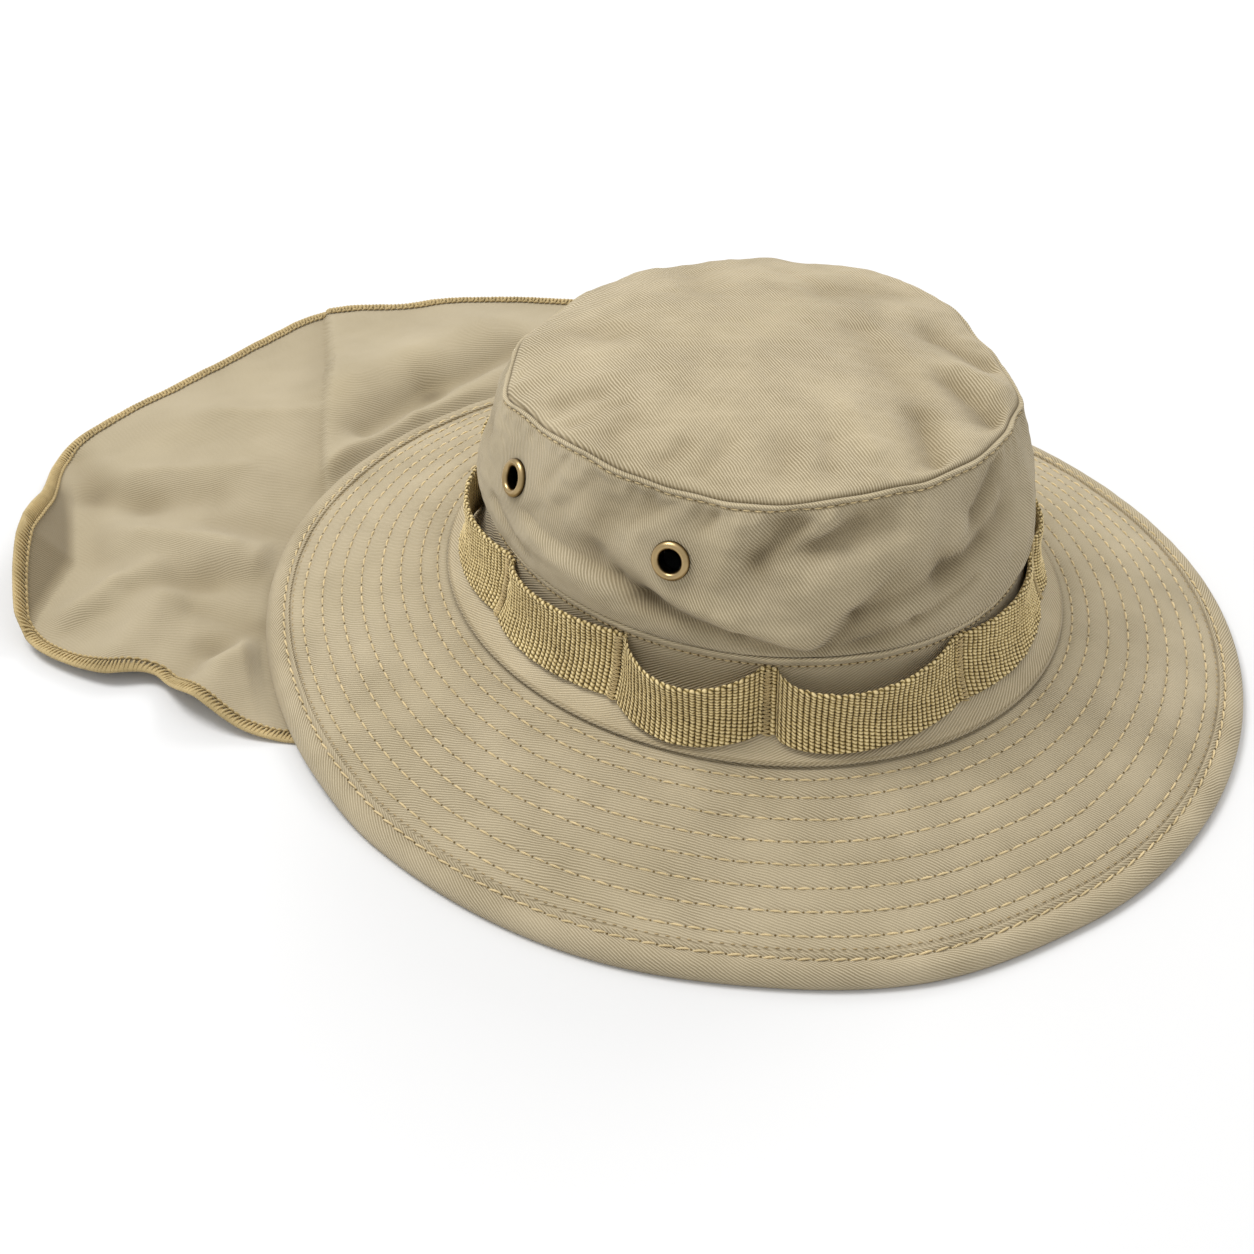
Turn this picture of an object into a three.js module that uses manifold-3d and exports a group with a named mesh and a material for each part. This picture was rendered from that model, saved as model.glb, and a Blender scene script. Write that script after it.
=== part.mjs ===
// Wide brimmed sun hat with webbing loops round the crown and a neck flap, lying on a table.
// Units are millimetres and +Z is up. The front faces -Y and the wearer's right side is at -X.
// Every ring of the hat is an oval round the Z axis: a point on it has an angle, a reach outward
// from the groove where the band meets the brim, and a level above the table.
import * as THREE from "three";
import { LoftGeometry } from "three/addons/geometries/LoftGeometry.js";
import { mergeVertices } from "three/addons/utils/BufferGeometryUtils.js";
import Module from "manifold-3d";

const wasm = await Module();
wasm.setup();

// Clearance between pieces that touch on the real hat.
const GAP = 0.3;

// Groove between band and brim.
const GROOVE_LENGTH = 216;
const GROOVE_WIDTH = 193;
const GROOVE_LEVEL = 30;

// Brim and its binding.
const BRIM_RUN = 64.3;
const BRIM_WALL = 1.8;
const BRIM_SEAT = 3.5;
const BRIM_BOW = 1.2;
const BINDING_WIDTH = 9.5;
const BINDING_WALL = 1;
const BINDING_ROLL = 1.4;
const BINDING_FOOT = 3.2;

// Band under the crown, which flares out onto the brim.
const BAND_HEIGHT = 29;
const BAND_INSET = 14.5;
const BAND_WALL = 1.6;

// Side panel of the crown, from the band up to the seam. The skew, a power, lowers the bulge's
// widest place, and folds fade out over a share of the height at both edges.
const SIDE_HEIGHT = 49.5;
const SIDE_BULGE = 5.2;
const BULGE_SKEW = 0.62;
const SEAM_INSET = 23;
const CROWN_WALL = 1.6;
const FOLD_DEPTH = 4.5;
const FOLD_FADE = 0.14;

// Top panel of the crown. Rounding is a power: above 2 the middle is flatter than a dome.
const TIP_RISE = 8;
const TIP_ROUNDING = 2.4;
const TIP_FADE = 0.12;

// Webbing strap, tacked to the band between its loops. The shoulder is a power that squares off
// the loops' ends.
const WEBBING_HEIGHT = 23.5;
const WEBBING_WALL = 1.6;
const LOOP_LOW = 8;
const LOOP_HIGH = 12;
const LOOP_SAG = 3;
const LOOP_SHOULDER = 0.8;

// Vent eyelets. Level is a share of the side panel's height, and the cloth is smooth within CALM.
const EYELET_OUTER = 12.6;
const EYELET_BORE = 7.2;
const EYELET_METAL = 0.7;
const EYELET_ROLL = 1;
const EYELET_RISE = 1.1;
const EYELET_LEVEL = 0.6;
const EYELET_SEAT = 0.9;
const EYELET_CALM = 16;

// Part of the rim, in degrees, that is raised over the flap, and the ramps at its ends.
const RAISE_LEFT = 20;
const RAISE_RIGHT = 162;
const RAISE_RAMP = 12;

// Neck flap and its hem.
const FLAP_WIDTH = 301;
const FLAP_BACK = 267;
const FLAP_SHIFT = -22;
const FLAP_WALL = 1.2;
const FLAP_LIFT = 16;
const FLAP_SEAT = 1;
const FLAP_CLEAR = 0.7;
const FLAP_SEAM_ANGLE = 10;
const HEM_WIDTH = 3;
const HEM_WALL = 1.6;

// Where the flap's folds begin and reach full height, as shares of the way from groove to rim.
const LIFT_START = 1.02;
const LIFT_FULL = 1.25;

// Fineness of the faceted surfaces. The flap and hem split each stretch of their outline.
const COLUMNS = 60;
const SIDE_STEPS = 8;
const LOOP_STEPS = 7;
const EYELET_SIDES = 12;
const OUTLINE_SPLIT = 2;

// Rings of the top panel, as shares of the way from the seam to the middle.
const TIP_SHARES = [0, 0.07, 0.15, 0.25, 0.38, 0.55, 0.77, 1];

// Seam between side and top panel. Reach is a share of SEAM_INSET, rise a share of SIDE_HEIGHT.
const SEAM = [
  { angle: 0, reach: 0, rise: 0 },
  { angle: 30, reach: 0, rise: -0.1 },
  { angle: 60, reach: 0, rise: -0.18 },
  { angle: 100, reach: 0, rise: -0.25 },
  { angle: 123, reach: 0.02, rise: -0.18 },
  { angle: 140, reach: 0.11, rise: -0.15 },
  { angle: 156, reach: 0, rise: -0.07 },
  { angle: 176, reach: 0, rise: 0 },
  { angle: 215, reach: 0, rise: 0 },
  { angle: 243, reach: -0.02, rise: 0.07 },
  { angle: 265, reach: 0, rise: 0.06 },
  { angle: 290, reach: 0.04, rise: 0.02 },
  { angle: 304, reach: 0.09, rise: -0.02 },
  { angle: 330, reach: 0, rise: -0.05 },
  { angle: 345, reach: 0, rise: 0.01 },
];

// Rim, as the photo's outline strays from a true oval. Reach is a share of BRIM_RUN.
const RIM = [
  { angle: 0, reach: -0.02 },
  { angle: 60, reach: 0 },
  { angle: 112, reach: 0.03 },
  { angle: 148, reach: -0.015 },
  { angle: 175, reach: 0.01 },
  { angle: 203, reach: 0.035 },
  { angle: 217, reach: 0.025 },
  { angle: 236, reach: 0.05 },
  { angle: 256, reach: 0 },
  { angle: 290, reach: -0.02 },
  { angle: 325, reach: 0.005 },
];

// Outline of the band from the groove up. Inset is a share of BAND_INSET, rise of BAND_HEIGHT.
const BAND_ROWS = [
  { inset: 0, rise: 0 },
  { inset: 0.31, rise: 0.05 },
  { inset: 0.66, rise: 0.19 },
  { inset: 0.9, rise: 0.52 },
  { inset: 1, rise: 1 },
];

// Folds of the side panel. Angles are in degrees, levels are shares of its height, width is a
// share of SIDE_HEIGHT and depth a share of FOLD_DEPTH, with valleys below zero.
const SIDE_FOLDS = [
  { fromAngle: 193, fromLevel: 0.88, toAngle: 183, toLevel: 0.68, width: 0.13, depth: -0.55 },
  { fromAngle: 199, fromLevel: 0.86, toAngle: 192, toLevel: 0.7, width: 0.12, depth: 0.35 },
  { fromAngle: 206, fromLevel: 0.92, toAngle: 200, toLevel: 0.8, width: 0.12, depth: -0.4 },
  { fromAngle: 214, fromLevel: 0.9, toAngle: 208, toLevel: 0.62, width: 0.14, depth: 0.45 },
  { fromAngle: 223, fromLevel: 0.9, toAngle: 217, toLevel: 0.68, width: 0.13, depth: -0.8 },
  { fromAngle: 231, fromLevel: 0.92, toAngle: 222, toLevel: 0.7, width: 0.1, depth: 0.5 },
  { fromAngle: 244, fromLevel: 0.86, toAngle: 228, toLevel: 0.74, width: 0.12, depth: -0.75 },
  { fromAngle: 252, fromLevel: 0.78, toAngle: 226, toLevel: 0.5, width: 0.16, depth: 0.55 },
  { fromAngle: 160, fromLevel: 0.52, toAngle: 182, toLevel: 0.46, width: 0.1, depth: -0.6 },
  { fromAngle: 182, fromLevel: 0.46, toAngle: 195, toLevel: 0.3, width: 0.12, depth: -0.8 },
  { fromAngle: 195, fromLevel: 0.3, toAngle: 224, toLevel: 0.06, width: 0.11, depth: -0.8 },
  { fromAngle: 168, fromLevel: 0.36, toAngle: 184, toLevel: 0.26, width: 0.12, depth: 0.5 },
  { fromAngle: 200, fromLevel: 0.42, toAngle: 228, toLevel: 0.2, width: 0.12, depth: 0.6 },
  { fromAngle: 231, fromLevel: 0.08, toAngle: 244, toLevel: 0.55, width: 0.1, depth: -0.9 },
  { fromAngle: 238, fromLevel: 0.1, toAngle: 257, toLevel: 0.52, width: 0.12, depth: -0.7 },
  { fromAngle: 246, fromLevel: 0.26, toAngle: 262, toLevel: 0.66, width: 0.1, depth: 0.5 },
  { fromAngle: 257, fromLevel: 0.5, toAngle: 277, toLevel: 0.6, width: 0.13, depth: -0.9 },
  { fromAngle: 278, fromLevel: 0.84, toAngle: 268, toLevel: 0.7, width: 0.13, depth: -0.45 },
  { fromAngle: 284, fromLevel: 0.3, toAngle: 292, toLevel: 0.6, width: 0.14, depth: 0.4 },
  { fromAngle: 304, fromLevel: 0.3, toAngle: 314, toLevel: 0.55, width: 0.24, depth: -0.65 },
  { fromAngle: 312, fromLevel: 0.2, toAngle: 326, toLevel: 0.7, width: 0.15, depth: -0.5 },
  { fromAngle: 345, fromLevel: 0.5, toAngle: 368, toLevel: 0.35, width: 0.16, depth: -0.5 },
  { fromAngle: 32, fromLevel: 0.75, toAngle: 44, toLevel: 0.45, width: 0.15, depth: -0.6 },
  { fromAngle: 58, fromLevel: 0.3, toAngle: 74, toLevel: 0.55, width: 0.16, depth: 0.5 },
  { fromAngle: 88, fromLevel: 0.65, toAngle: 104, toLevel: 0.4, width: 0.16, depth: -0.7 },
  { fromAngle: 120, fromLevel: 0.4, toAngle: 136, toLevel: 0.62, width: 0.14, depth: -0.5 },
];

// Dents of the top panel. Levels count from 0 at the centre to 1 at the seam, width is a share of
// the panel's half width and depth a share of FOLD_DEPTH.
const TIP_FOLDS = [
  { fromAngle: 151, fromLevel: 0.9, toAngle: 155, toLevel: 0.76, width: 0.07, depth: -0.35 },
  { fromAngle: 176, fromLevel: 0.88, toAngle: 175, toLevel: 0.76, width: 0.07, depth: -0.35 },
  { fromAngle: 194, fromLevel: 0.9, toAngle: 197, toLevel: 0.8, width: 0.06, depth: -0.3 },
  { fromAngle: 226, fromLevel: 0.88, toAngle: 230, toLevel: 0.74, width: 0.08, depth: -0.3 },
  { fromAngle: 262, fromLevel: 0.9, toAngle: 275, toLevel: 0.7, width: 0.09, depth: -0.75 },
  { fromAngle: 294, fromLevel: 0.92, toAngle: 302, toLevel: 0.72, width: 0.1, depth: -0.85 },
  { fromAngle: 306, fromLevel: 0.92, toAngle: 310, toLevel: 0.8, width: 0.09, depth: 0.5 },
  { fromAngle: 320, fromLevel: 0.92, toAngle: 328, toLevel: 0.68, width: 0.09, depth: -0.7 },
  { fromAngle: 352, fromLevel: 0.85, toAngle: 10, toLevel: 0.6, width: 0.12, depth: -0.35 },
  { fromAngle: 60, fromLevel: 0.85, toAngle: 66, toLevel: 0.6, width: 0.12, depth: -0.4 },
  { fromAngle: 110, fromLevel: 0.88, toAngle: 116, toLevel: 0.66, width: 0.1, depth: -0.4 },
];

// Tacks of the webbing on the band, and how far the loop after each stands off, as a share of
// LOOP_LOW and LOOP_HIGH.
const TACKS = [
  { angle: 12, bulge: 0.8 },
  { angle: 47, bulge: 0.9 },
  { angle: 82, bulge: 0.9 },
  { angle: 118, bulge: 0.7 },
  { angle: 153, bulge: 0.9 },
  { angle: 189, bulge: 0.9 },
  { angle: 219.6, bulge: 1.05 },
  { angle: 264, bulge: 0.85 },
  { angle: 301, bulge: 0.65 },
  { angle: 337, bulge: 0.8 },
];

// Vent eyelets, a pair on each side of the head.
const EYELETS = [
  { name: "eyelet_right_front", angle: 199.5 },
  { name: "eyelet_right_rear", angle: 156.5 },
  { name: "eyelet_left_front", angle: 340.5 },
  { name: "eyelet_left_rear", angle: 23.5 },
];

// Outline of the flap, hem included: its right side edge outward from the brim, its far edge from
// right to left, and its left side edge outward. Across is a share of FLAP_WIDTH from the flap's
// middle, back a share of FLAP_BACK.
const FLAP_RIGHT = [
  { across: -0.306, back: 0.14 },
  { across: -0.357, back: 0.212 },
  { across: -0.408, back: 0.284 },
  { across: -0.438, back: 0.347 },
  { across: -0.451, back: 0.426 },
  { across: -0.441, back: 0.497 },
  { across: -0.48, back: 0.547 },
  { across: -0.5, back: 0.63 },
  { across: -0.495, back: 0.686 },
];
const FLAP_FAR = [
  { across: -0.495, back: 0.686 },
  { across: -0.482, back: 0.716 },
  { across: -0.429, back: 0.783 },
  { across: -0.34, back: 0.869 },
  { across: -0.235, back: 0.981 },
  { across: -0.105, back: 0.996 },
  { across: 0.06, back: 1 },
  { across: 0.21, back: 0.995 },
  { across: 0.3, back: 0.922 },
  { across: 0.357, back: 0.876 },
  { across: 0.43, back: 0.79 },
  { across: 0.5, back: 0.678 },
];
const FLAP_LEFT = [
  { across: 0.445, back: 0.15 },
  { across: 0.495, back: 0.225 },
  { across: 0.535, back: 0.3 },
  { across: 0.558, back: 0.363 },
  { across: 0.565, back: 0.431 },
  { across: 0.548, back: 0.494 },
  { across: 0.535, back: 0.55 },
  { across: 0.515, back: 0.618 },
  { across: 0.5, back: 0.678 },
];

// Folds of the flap on the table. Across and back are shares as in the outline, width is a share
// of FLAP_WIDTH and rise a share of FLAP_LIFT, with valleys below zero.
const FLAP_FOLDS = [
  { fromAcross: -0.42, fromBack: 0.776, toAcross: -0.32, toBack: 0.876, width: 0.07, rise: 1 },
  { fromAcross: 0.16, fromBack: 0.87, toAcross: 0.1, toBack: 0.8, width: 0.05, rise: 0.3 },
  { fromAcross: 0.1, fromBack: 0.8, toAcross: -0.04, toBack: 0.66, width: 0.055, rise: 0.4 },
  { fromAcross: -0.02, fromBack: 0.675, toAcross: 0.29, toBack: 0.675, width: 0.05, rise: 0.5 },
  { fromAcross: 0.12, fromBack: 0.81, toAcross: 0.32, toBack: 0.79, width: 0.05, rise: 0.25 },
  { fromAcross: -0.22, fromBack: 0.87, toAcross: -0.11, toBack: 0.77, width: 0.05, rise: 0.3 },
  { fromAcross: -0.09, fromBack: 0.9, toAcross: 0.04, toBack: 0.79, width: 0.06, rise: 0.25 },
  { fromAcross: -0.3, fromBack: 0.745, toAcross: -0.21, toBack: 0.57, width: 0.05, rise: 0.45 },
  { fromAcross: -0.42, fromBack: 0.655, toAcross: -0.33, toBack: 0.66, width: 0.035, rise: 0.35 },
  { fromAcross: -0.44, fromBack: 0.56, toAcross: -0.35, toBack: 0.6, width: 0.03, rise: 0.3 },
  { fromAcross: -0.44, fromBack: 0.41, toAcross: -0.33, toBack: 0.44, width: 0.045, rise: 0.4 },
  { fromAcross: 0.5, fromBack: 0.5, toAcross: 0.38, toBack: 0.66, width: 0.05, rise: 0.35 },
];

// Sizes that follow from the driving dimensions.
const RIM_LEVEL = BINDING_WALL + GAP + BRIM_WALL;
const RIM_RAISE = HEM_WALL + GAP;
const BRIM_END = 1 - (GAP + BINDING_WALL) / BRIM_RUN;
const BINDING_START = 1 - BINDING_WIDTH / BRIM_RUN;
const ROLL_START = 1 - BINDING_ROLL / BRIM_RUN;
const FOOT_START = 1 - (BINDING_ROLL + BINDING_FOOT) / BRIM_RUN;
const BAND_BASE = GROOVE_LEVEL + GAP + BAND_WALL;
const SIDE_BASE = BAND_BASE + BAND_HEIGHT + GAP;

const CLOTH = { color: 0xbdae90, roughness: 0.9, metalness: 0 };
const STRAP = { color: 0x7c6a44, roughness: 0.95, metalness: 0 };
const THREAD = { color: 0xa08a55, roughness: 0.85, metalness: 0 };
const BRASS = { color: 0x8a7345, roughness: 0.4, metalness: 1 };

const hat = new THREE.Group();

function radians(degrees) {
  return (degrees * Math.PI) / 180;
}

function lerp(a, b, share) {
  return a + (b - a) * share;
}

function ease(low, high, value) {
  return THREE.MathUtils.smoothstep(value, low, high);
}

// The same angle between 0 and 360 degrees.
function wholeTurn(angle) {
  return ((angle % 360) + 360) % 360;
}

// The angle from one direction to another, between -180 and 180 degrees.
function turnBetween(from, to) {
  return wholeTurn(to - from + 180) - 180;
}

// Reads one column of a table of angles, eased between its rows all the way round.
function roundTable(rows, angle, column) {
  const turn = wholeTurn(angle);
  let index = rows.length - 1;
  while (index > 0 && rows[index].angle > turn) index -= 1;
  const row = rows[index];
  const next = rows[(index + 1) % rows.length];
  const span = (next.angle - row.angle + 360) % 360;
  return lerp(row[column], next[column], ease(0, 1, (turn - row.angle) / span));
}

function ovalPoint(angle, reach, level) {
  const turn = radians(angle);
  const x = (GROOVE_WIDTH / 2 + reach) * Math.cos(turn);
  const y = (GROOVE_LENGTH / 2 + reach) * Math.sin(turn);
  return new THREE.Vector3(x, y, level);
}

// The angle and reach of the oval that passes through a point seen from above.
function ovalPlace(x, y) {
  const mean = (GROOVE_WIDTH + GROOVE_LENGTH) / 4;
  let reach = Math.hypot(x, y) - mean;
  for (let pass = 0; pass < 8; pass += 1) {
    const size = Math.hypot(x / (GROOVE_WIDTH / 2 + reach), y / (GROOVE_LENGTH / 2 + reach));
    reach += (size - 1) * (mean + reach);
  }
  const turn = Math.atan2(y / (GROOVE_LENGTH / 2 + reach), x / (GROOVE_WIDTH / 2 + reach));
  return { angle: (turn * 180) / Math.PI, reach };
}

// A ridge or valley at a distance across a fold of the given half width.
function crease(x, y, fromX, fromY, toX, toY, width) {
  const runX = toX - fromX;
  const runY = toY - fromY;
  const along = ((x - fromX) * runX + (y - fromY) * runY) / (runX * runX + runY * runY);
  const share = THREE.MathUtils.clamp(along, 0, 1);
  const away = Math.hypot(x - fromX - share * runX, y - fromY - share * runY);
  return Math.exp(-((away / width) ** 2));
}

// Turns a loft's geometry into one closed body: shared points merged, flat triangles dropped.
function closeUp(geometry) {
  const plain = new THREE.BufferGeometry();
  plain.setAttribute("position", geometry.getAttribute("position"));
  plain.setIndex(geometry.getIndex());
  const merged = mergeVertices(plain, 1e-4);
  const index = merged.getIndex().array;
  const kept = [];
  for (let i = 0; i < index.length; i += 3) {
    const [a, b, c] = [index[i], index[i + 1], index[i + 2]];
    if (a !== b && b !== c && c !== a) kept.push(a, b, c);
  }
  merged.setIndex(kept);
  merged.computeVertexNormals();
  return merged;
}

// A closed ring: the same section of points at every angle round the hat.
function ring(angles, sectionAt) {
  const sections = angles.map((angle) => sectionAt(angle).reverse());
  sections.push(sections[0].map((point) => point.clone()));
  return closeUp(new LoftGeometry(sections));
}

function evenAngles(count) {
  return Array.from({ length: count }, (_, index) => (index * 360) / count);
}

function evenShares(steps) {
  return Array.from({ length: steps + 1 }, (_, index) => index / steps);
}

// The outward direction of a surface given by angle and share, from two short steps along it.
function outward(surface, angle, share) {
  const shareStep = 0.02;
  const angleStep = 0.2;
  const place = THREE.MathUtils.clamp(share, shareStep, 1 - shareStep);
  const round = surface(angle + angleStep, place).sub(surface(angle - angleStep, place));
  const up = surface(angle, place + shareStep).sub(surface(angle, place - shareStep));
  return round.cross(up).normalize();
}

// A cloth wall: the surface outside, and the same surface set in by the wall's thickness.
function shellSection(surface, shares, wall) {
  return (angle) => {
    const outer = shares.map((share) => surface(angle, share));
    const inner = shares.map((share, index) =>
      outer[index].clone().addScaledVector(outward(surface, angle, share), -wall)
    );
    return outer.concat(inner.reverse());
  };
}

function addPiece(name, geometry, look) {
  const mesh = new THREE.Mesh(geometry, new THREE.MeshStandardMaterial(look));
  mesh.name = name;
  hat.add(mesh);
  return mesh;
}

// Brim and binding

// The rim stands higher where the flap passes under it at the back.
function rimRaise(angle) {
  const turn = wholeTurn(angle);
  const left = ease(RAISE_LEFT - RAISE_RAMP, RAISE_LEFT, turn);
  const right = 1 - ease(RAISE_RIGHT, RAISE_RIGHT + RAISE_RAMP, turn);
  return RIM_RAISE * left * right;
}

function brimTop(angle, share) {
  const straight = lerp(GROOVE_LEVEL, RIM_LEVEL + rimRaise(angle), share);
  return straight + BRIM_BOW * 4 * share * (1 - share);
}

function rimReach(angle) {
  return BRIM_RUN * (1 + roundTable(RIM, angle, "reach"));
}

// A point over the brim: share 0 at the groove and 1 at the rim, height above the top surface.
function brimPoint(angle, share, height) {
  return ovalPoint(angle, rimReach(angle) * share, brimTop(angle, Math.max(share, 0)) + height);
}

function brimSection(angle) {
  const shares = [-BRIM_SEAT / BRIM_RUN, 0, BINDING_START / 2, BINDING_START, BRIM_END];
  const over = shares.map((share) => brimPoint(angle, share, 0));
  const under = shares.map((share) => brimPoint(angle, share, -BRIM_WALL));
  return over.reverse().concat(under);
}

function bindingSection(angle) {
  const over = GAP + BINDING_WALL;
  const under = -BRIM_WALL - over;
  const foot = [FOOT_START, ROLL_START].map((share) =>
    brimPoint(angle, share, 0).setZ(rimRaise(angle))
  );
  const inside = BRIM_END + GAP / BRIM_RUN;
  return [
    brimPoint(angle, BINDING_START, GAP),
    brimPoint(angle, inside, GAP),
    brimPoint(angle, inside, -BRIM_WALL - GAP),
    brimPoint(angle, BINDING_START, -BRIM_WALL - GAP),
    brimPoint(angle, BINDING_START, under),
    ...foot,
    brimPoint(angle, 1, -BRIM_WALL / 2),
    brimPoint(angle, ROLL_START, over),
    brimPoint(angle, BINDING_START, over),
  ];
}

addPiece("brim", ring(evenAngles(COLUMNS), brimSection), CLOTH);
addPiece("brim_binding", ring(evenAngles(COLUMNS), bindingSection), CLOTH);

// Crown band

function bandPlace(rise) {
  let index = 0;
  while (index < BAND_ROWS.length - 2 && BAND_ROWS[index + 1].rise < rise) index += 1;
  const low = BAND_ROWS[index];
  const high = BAND_ROWS[index + 1];
  const inset = lerp(low.inset, high.inset, (rise - low.rise) / (high.rise - low.rise));
  return { reach: -inset * BAND_INSET, level: BAND_BASE + rise * BAND_HEIGHT };
}

function bandSurface(angle, rise) {
  const place = bandPlace(rise);
  return ovalPoint(angle, place.reach, place.level);
}

const bandShares = BAND_ROWS.map((row) => row.rise);
addPiece("crown_band", ring(evenAngles(COLUMNS), shellSection(bandSurface, bandShares, BAND_WALL)), CLOTH);

// Crown side and tip

// The length of one degree round the side panel.
const DEGREE_RUN = radians(1) * (GROOVE_WIDTH / 2 - BAND_INSET);

function sideFold(angle, level) {
  let depth = 0;
  for (const fold of SIDE_FOLDS) {
    const middle = (fold.fromAngle + fold.toAngle) / 2;
    const turn = middle + turnBetween(middle, angle);
    depth += fold.depth * crease(
      turn * DEGREE_RUN, level * SIDE_HEIGHT,
      fold.fromAngle * DEGREE_RUN, fold.fromLevel * SIDE_HEIGHT,
      fold.toAngle * DEGREE_RUN, fold.toLevel * SIDE_HEIGHT,
      fold.width * SIDE_HEIGHT
    );
  }
  const edges = ease(0, FOLD_FADE, level) * (1 - ease(1 - FOLD_FADE, 1, level));
  return FOLD_DEPTH * depth * edges * eyeletCalm(angle, level);
}

// The cloth lies smooth round each eyelet.
function eyeletCalm(angle, level) {
  let calm = 1;
  for (const eyelet of EYELETS) {
    const across = turnBetween(eyelet.angle, angle) * DEGREE_RUN;
    const away = Math.hypot(across, (level - EYELET_LEVEL) * SIDE_HEIGHT);
    calm *= ease(EYELET_OUTER / 2, EYELET_CALM, away);
  }
  return calm;
}

function seamReach(angle) {
  return -SEAM_INSET * (1 - roundTable(SEAM, angle, "reach"));
}

function seamLevel(angle) {
  return SIDE_BASE + SIDE_HEIGHT * (1 + roundTable(SEAM, angle, "rise"));
}

function sideSurface(angle, level) {
  const bulge = SIDE_BULGE * Math.sin(Math.PI * Math.max(level, 0) ** BULGE_SKEW);
  const reach = lerp(-BAND_INSET, seamReach(angle), level) + bulge;
  return ovalPoint(angle, reach + sideFold(angle, level), lerp(SIDE_BASE, seamLevel(angle), level));
}

function tipDent(x, y, share) {
  const size = GROOVE_WIDTH / 2 - SEAM_INSET;
  let depth = 0;
  for (const fold of TIP_FOLDS) {
    const from = radians(fold.fromAngle);
    const to = radians(fold.toAngle);
    depth += fold.depth * crease(
      x, y,
      size * fold.fromLevel * Math.cos(from), size * fold.fromLevel * Math.sin(from),
      size * fold.toLevel * Math.cos(to), size * fold.toLevel * Math.sin(to),
      size * fold.width
    );
  }
  return FOLD_DEPTH * depth * (1 - ease(1 - TIP_FADE, 1, share));
}

// Share 0 is the seam and 1 the middle of the top.
function tipSurface(angle, share) {
  const spread = 1 - share;
  const edge = ovalPoint(angle, seamReach(angle) + GAP, 0);
  const x = edge.x * spread;
  const y = edge.y * spread;
  const low = seamLevel(angle) + GAP + CROWN_WALL;
  const high = SIDE_BASE + SIDE_HEIGHT + GAP + CROWN_WALL + TIP_RISE;
  const level = lerp(high, low, spread ** TIP_ROUNDING);
  return new THREE.Vector3(x, y, level + tipDent(x, y, spread));
}

function tipSection(angle) {
  const outer = TIP_SHARES.map((share) => tipSurface(angle, share));
  const inner = outer.map((point) => point.clone().setZ(point.z - CROWN_WALL));
  return outer.concat(inner.reverse());
}

function solidOf(geometry) {
  const vertProperties = Float32Array.from(geometry.getAttribute("position").array);
  const triVerts = Uint32Array.from(geometry.getIndex().array);
  return new wasm.Manifold(new wasm.Mesh({ numProp: 3, vertProperties, triVerts }));
}

function geometryOf(solid) {
  const mesh = solid.getMesh();
  const geometry = new THREE.BufferGeometry();
  geometry.setAttribute("position", new THREE.BufferAttribute(mesh.vertProperties, 3));
  geometry.setIndex(new THREE.BufferAttribute(mesh.triVerts, 1));
  return geometry;
}

// Places a piece made along +Y so that it stands out of the side panel at an eyelet.
function eyeletPlace(angle) {
  const middle = sideSurface(angle, EYELET_LEVEL);
  const direction = outward(sideSurface, angle, EYELET_LEVEL);
  const turn = new THREE.Quaternion().setFromUnitVectors(new THREE.Vector3(0, 1, 0), direction);
  return new THREE.Matrix4().compose(middle, turn, new THREE.Vector3(1, 1, 1));
}

// Section of an eyelet: a rolled flange outside, a barrel through the cloth, a washer inside.
function eyeletGeometry() {
  const bore = EYELET_BORE / 2;
  const barrel = bore + EYELET_METAL;
  const outer = EYELET_OUTER / 2;
  const inside = -CROWN_WALL - EYELET_SEAT;
  const profile = [
    [bore, inside - EYELET_METAL],
    [outer - EYELET_ROLL, inside - EYELET_METAL],
    [outer - EYELET_ROLL, inside],
    [barrel, inside],
    [barrel, GAP],
    [outer, GAP],
    [outer - EYELET_ROLL, GAP + EYELET_RISE],
    [bore, GAP + EYELET_METAL],
    [bore, inside - EYELET_METAL],
  ].map(([radius, height]) => new THREE.Vector2(radius, height));
  return closeUp(new THREE.LatheGeometry(profile, EYELET_SIDES));
}

// The hole's cutter runs well past the cloth on both sides.
const cutterRun = CROWN_WALL * 6;
const sideShares = evenShares(SIDE_STEPS);
let side = solidOf(ring(evenAngles(COLUMNS), shellSection(sideSurface, sideShares, CROWN_WALL)));
for (const eyelet of EYELETS) {
  const place = eyeletPlace(eyelet.angle);
  const radius = EYELET_BORE / 2 + EYELET_METAL + GAP;
  const cutter = new THREE.CylinderGeometry(radius, radius, cutterRun, EYELET_SIDES);
  cutter.applyMatrix4(place);
  side = side.subtract(solidOf(closeUp(cutter)));
  const mesh = addPiece(eyelet.name, eyeletGeometry(), BRASS);
  mesh.applyMatrix4(place);
}
addPiece("crown_side", geometryOf(side), CLOTH);
addPiece("crown_tip", ring(evenAngles(COLUMNS), tipSection), CLOTH);

// Webbing

// Stations round the strap: each loop starts at a tack with bulge 0 and swells in its middle.
function webbingStations() {
  const stations = [];
  TACKS.forEach((tack, index) => {
    const next = TACKS[(index + 1) % TACKS.length];
    const span = (next.angle - tack.angle + 360) % 360;
    for (let step = 0; step < LOOP_STEPS; step += 1) {
      const share = step / LOOP_STEPS;
      const bulge = tack.bulge * Math.sin(Math.PI * share) ** LOOP_SHOULDER;
      stations.push({ angle: tack.angle + span * share, bulge });
    }
  });
  return stations;
}

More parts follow.
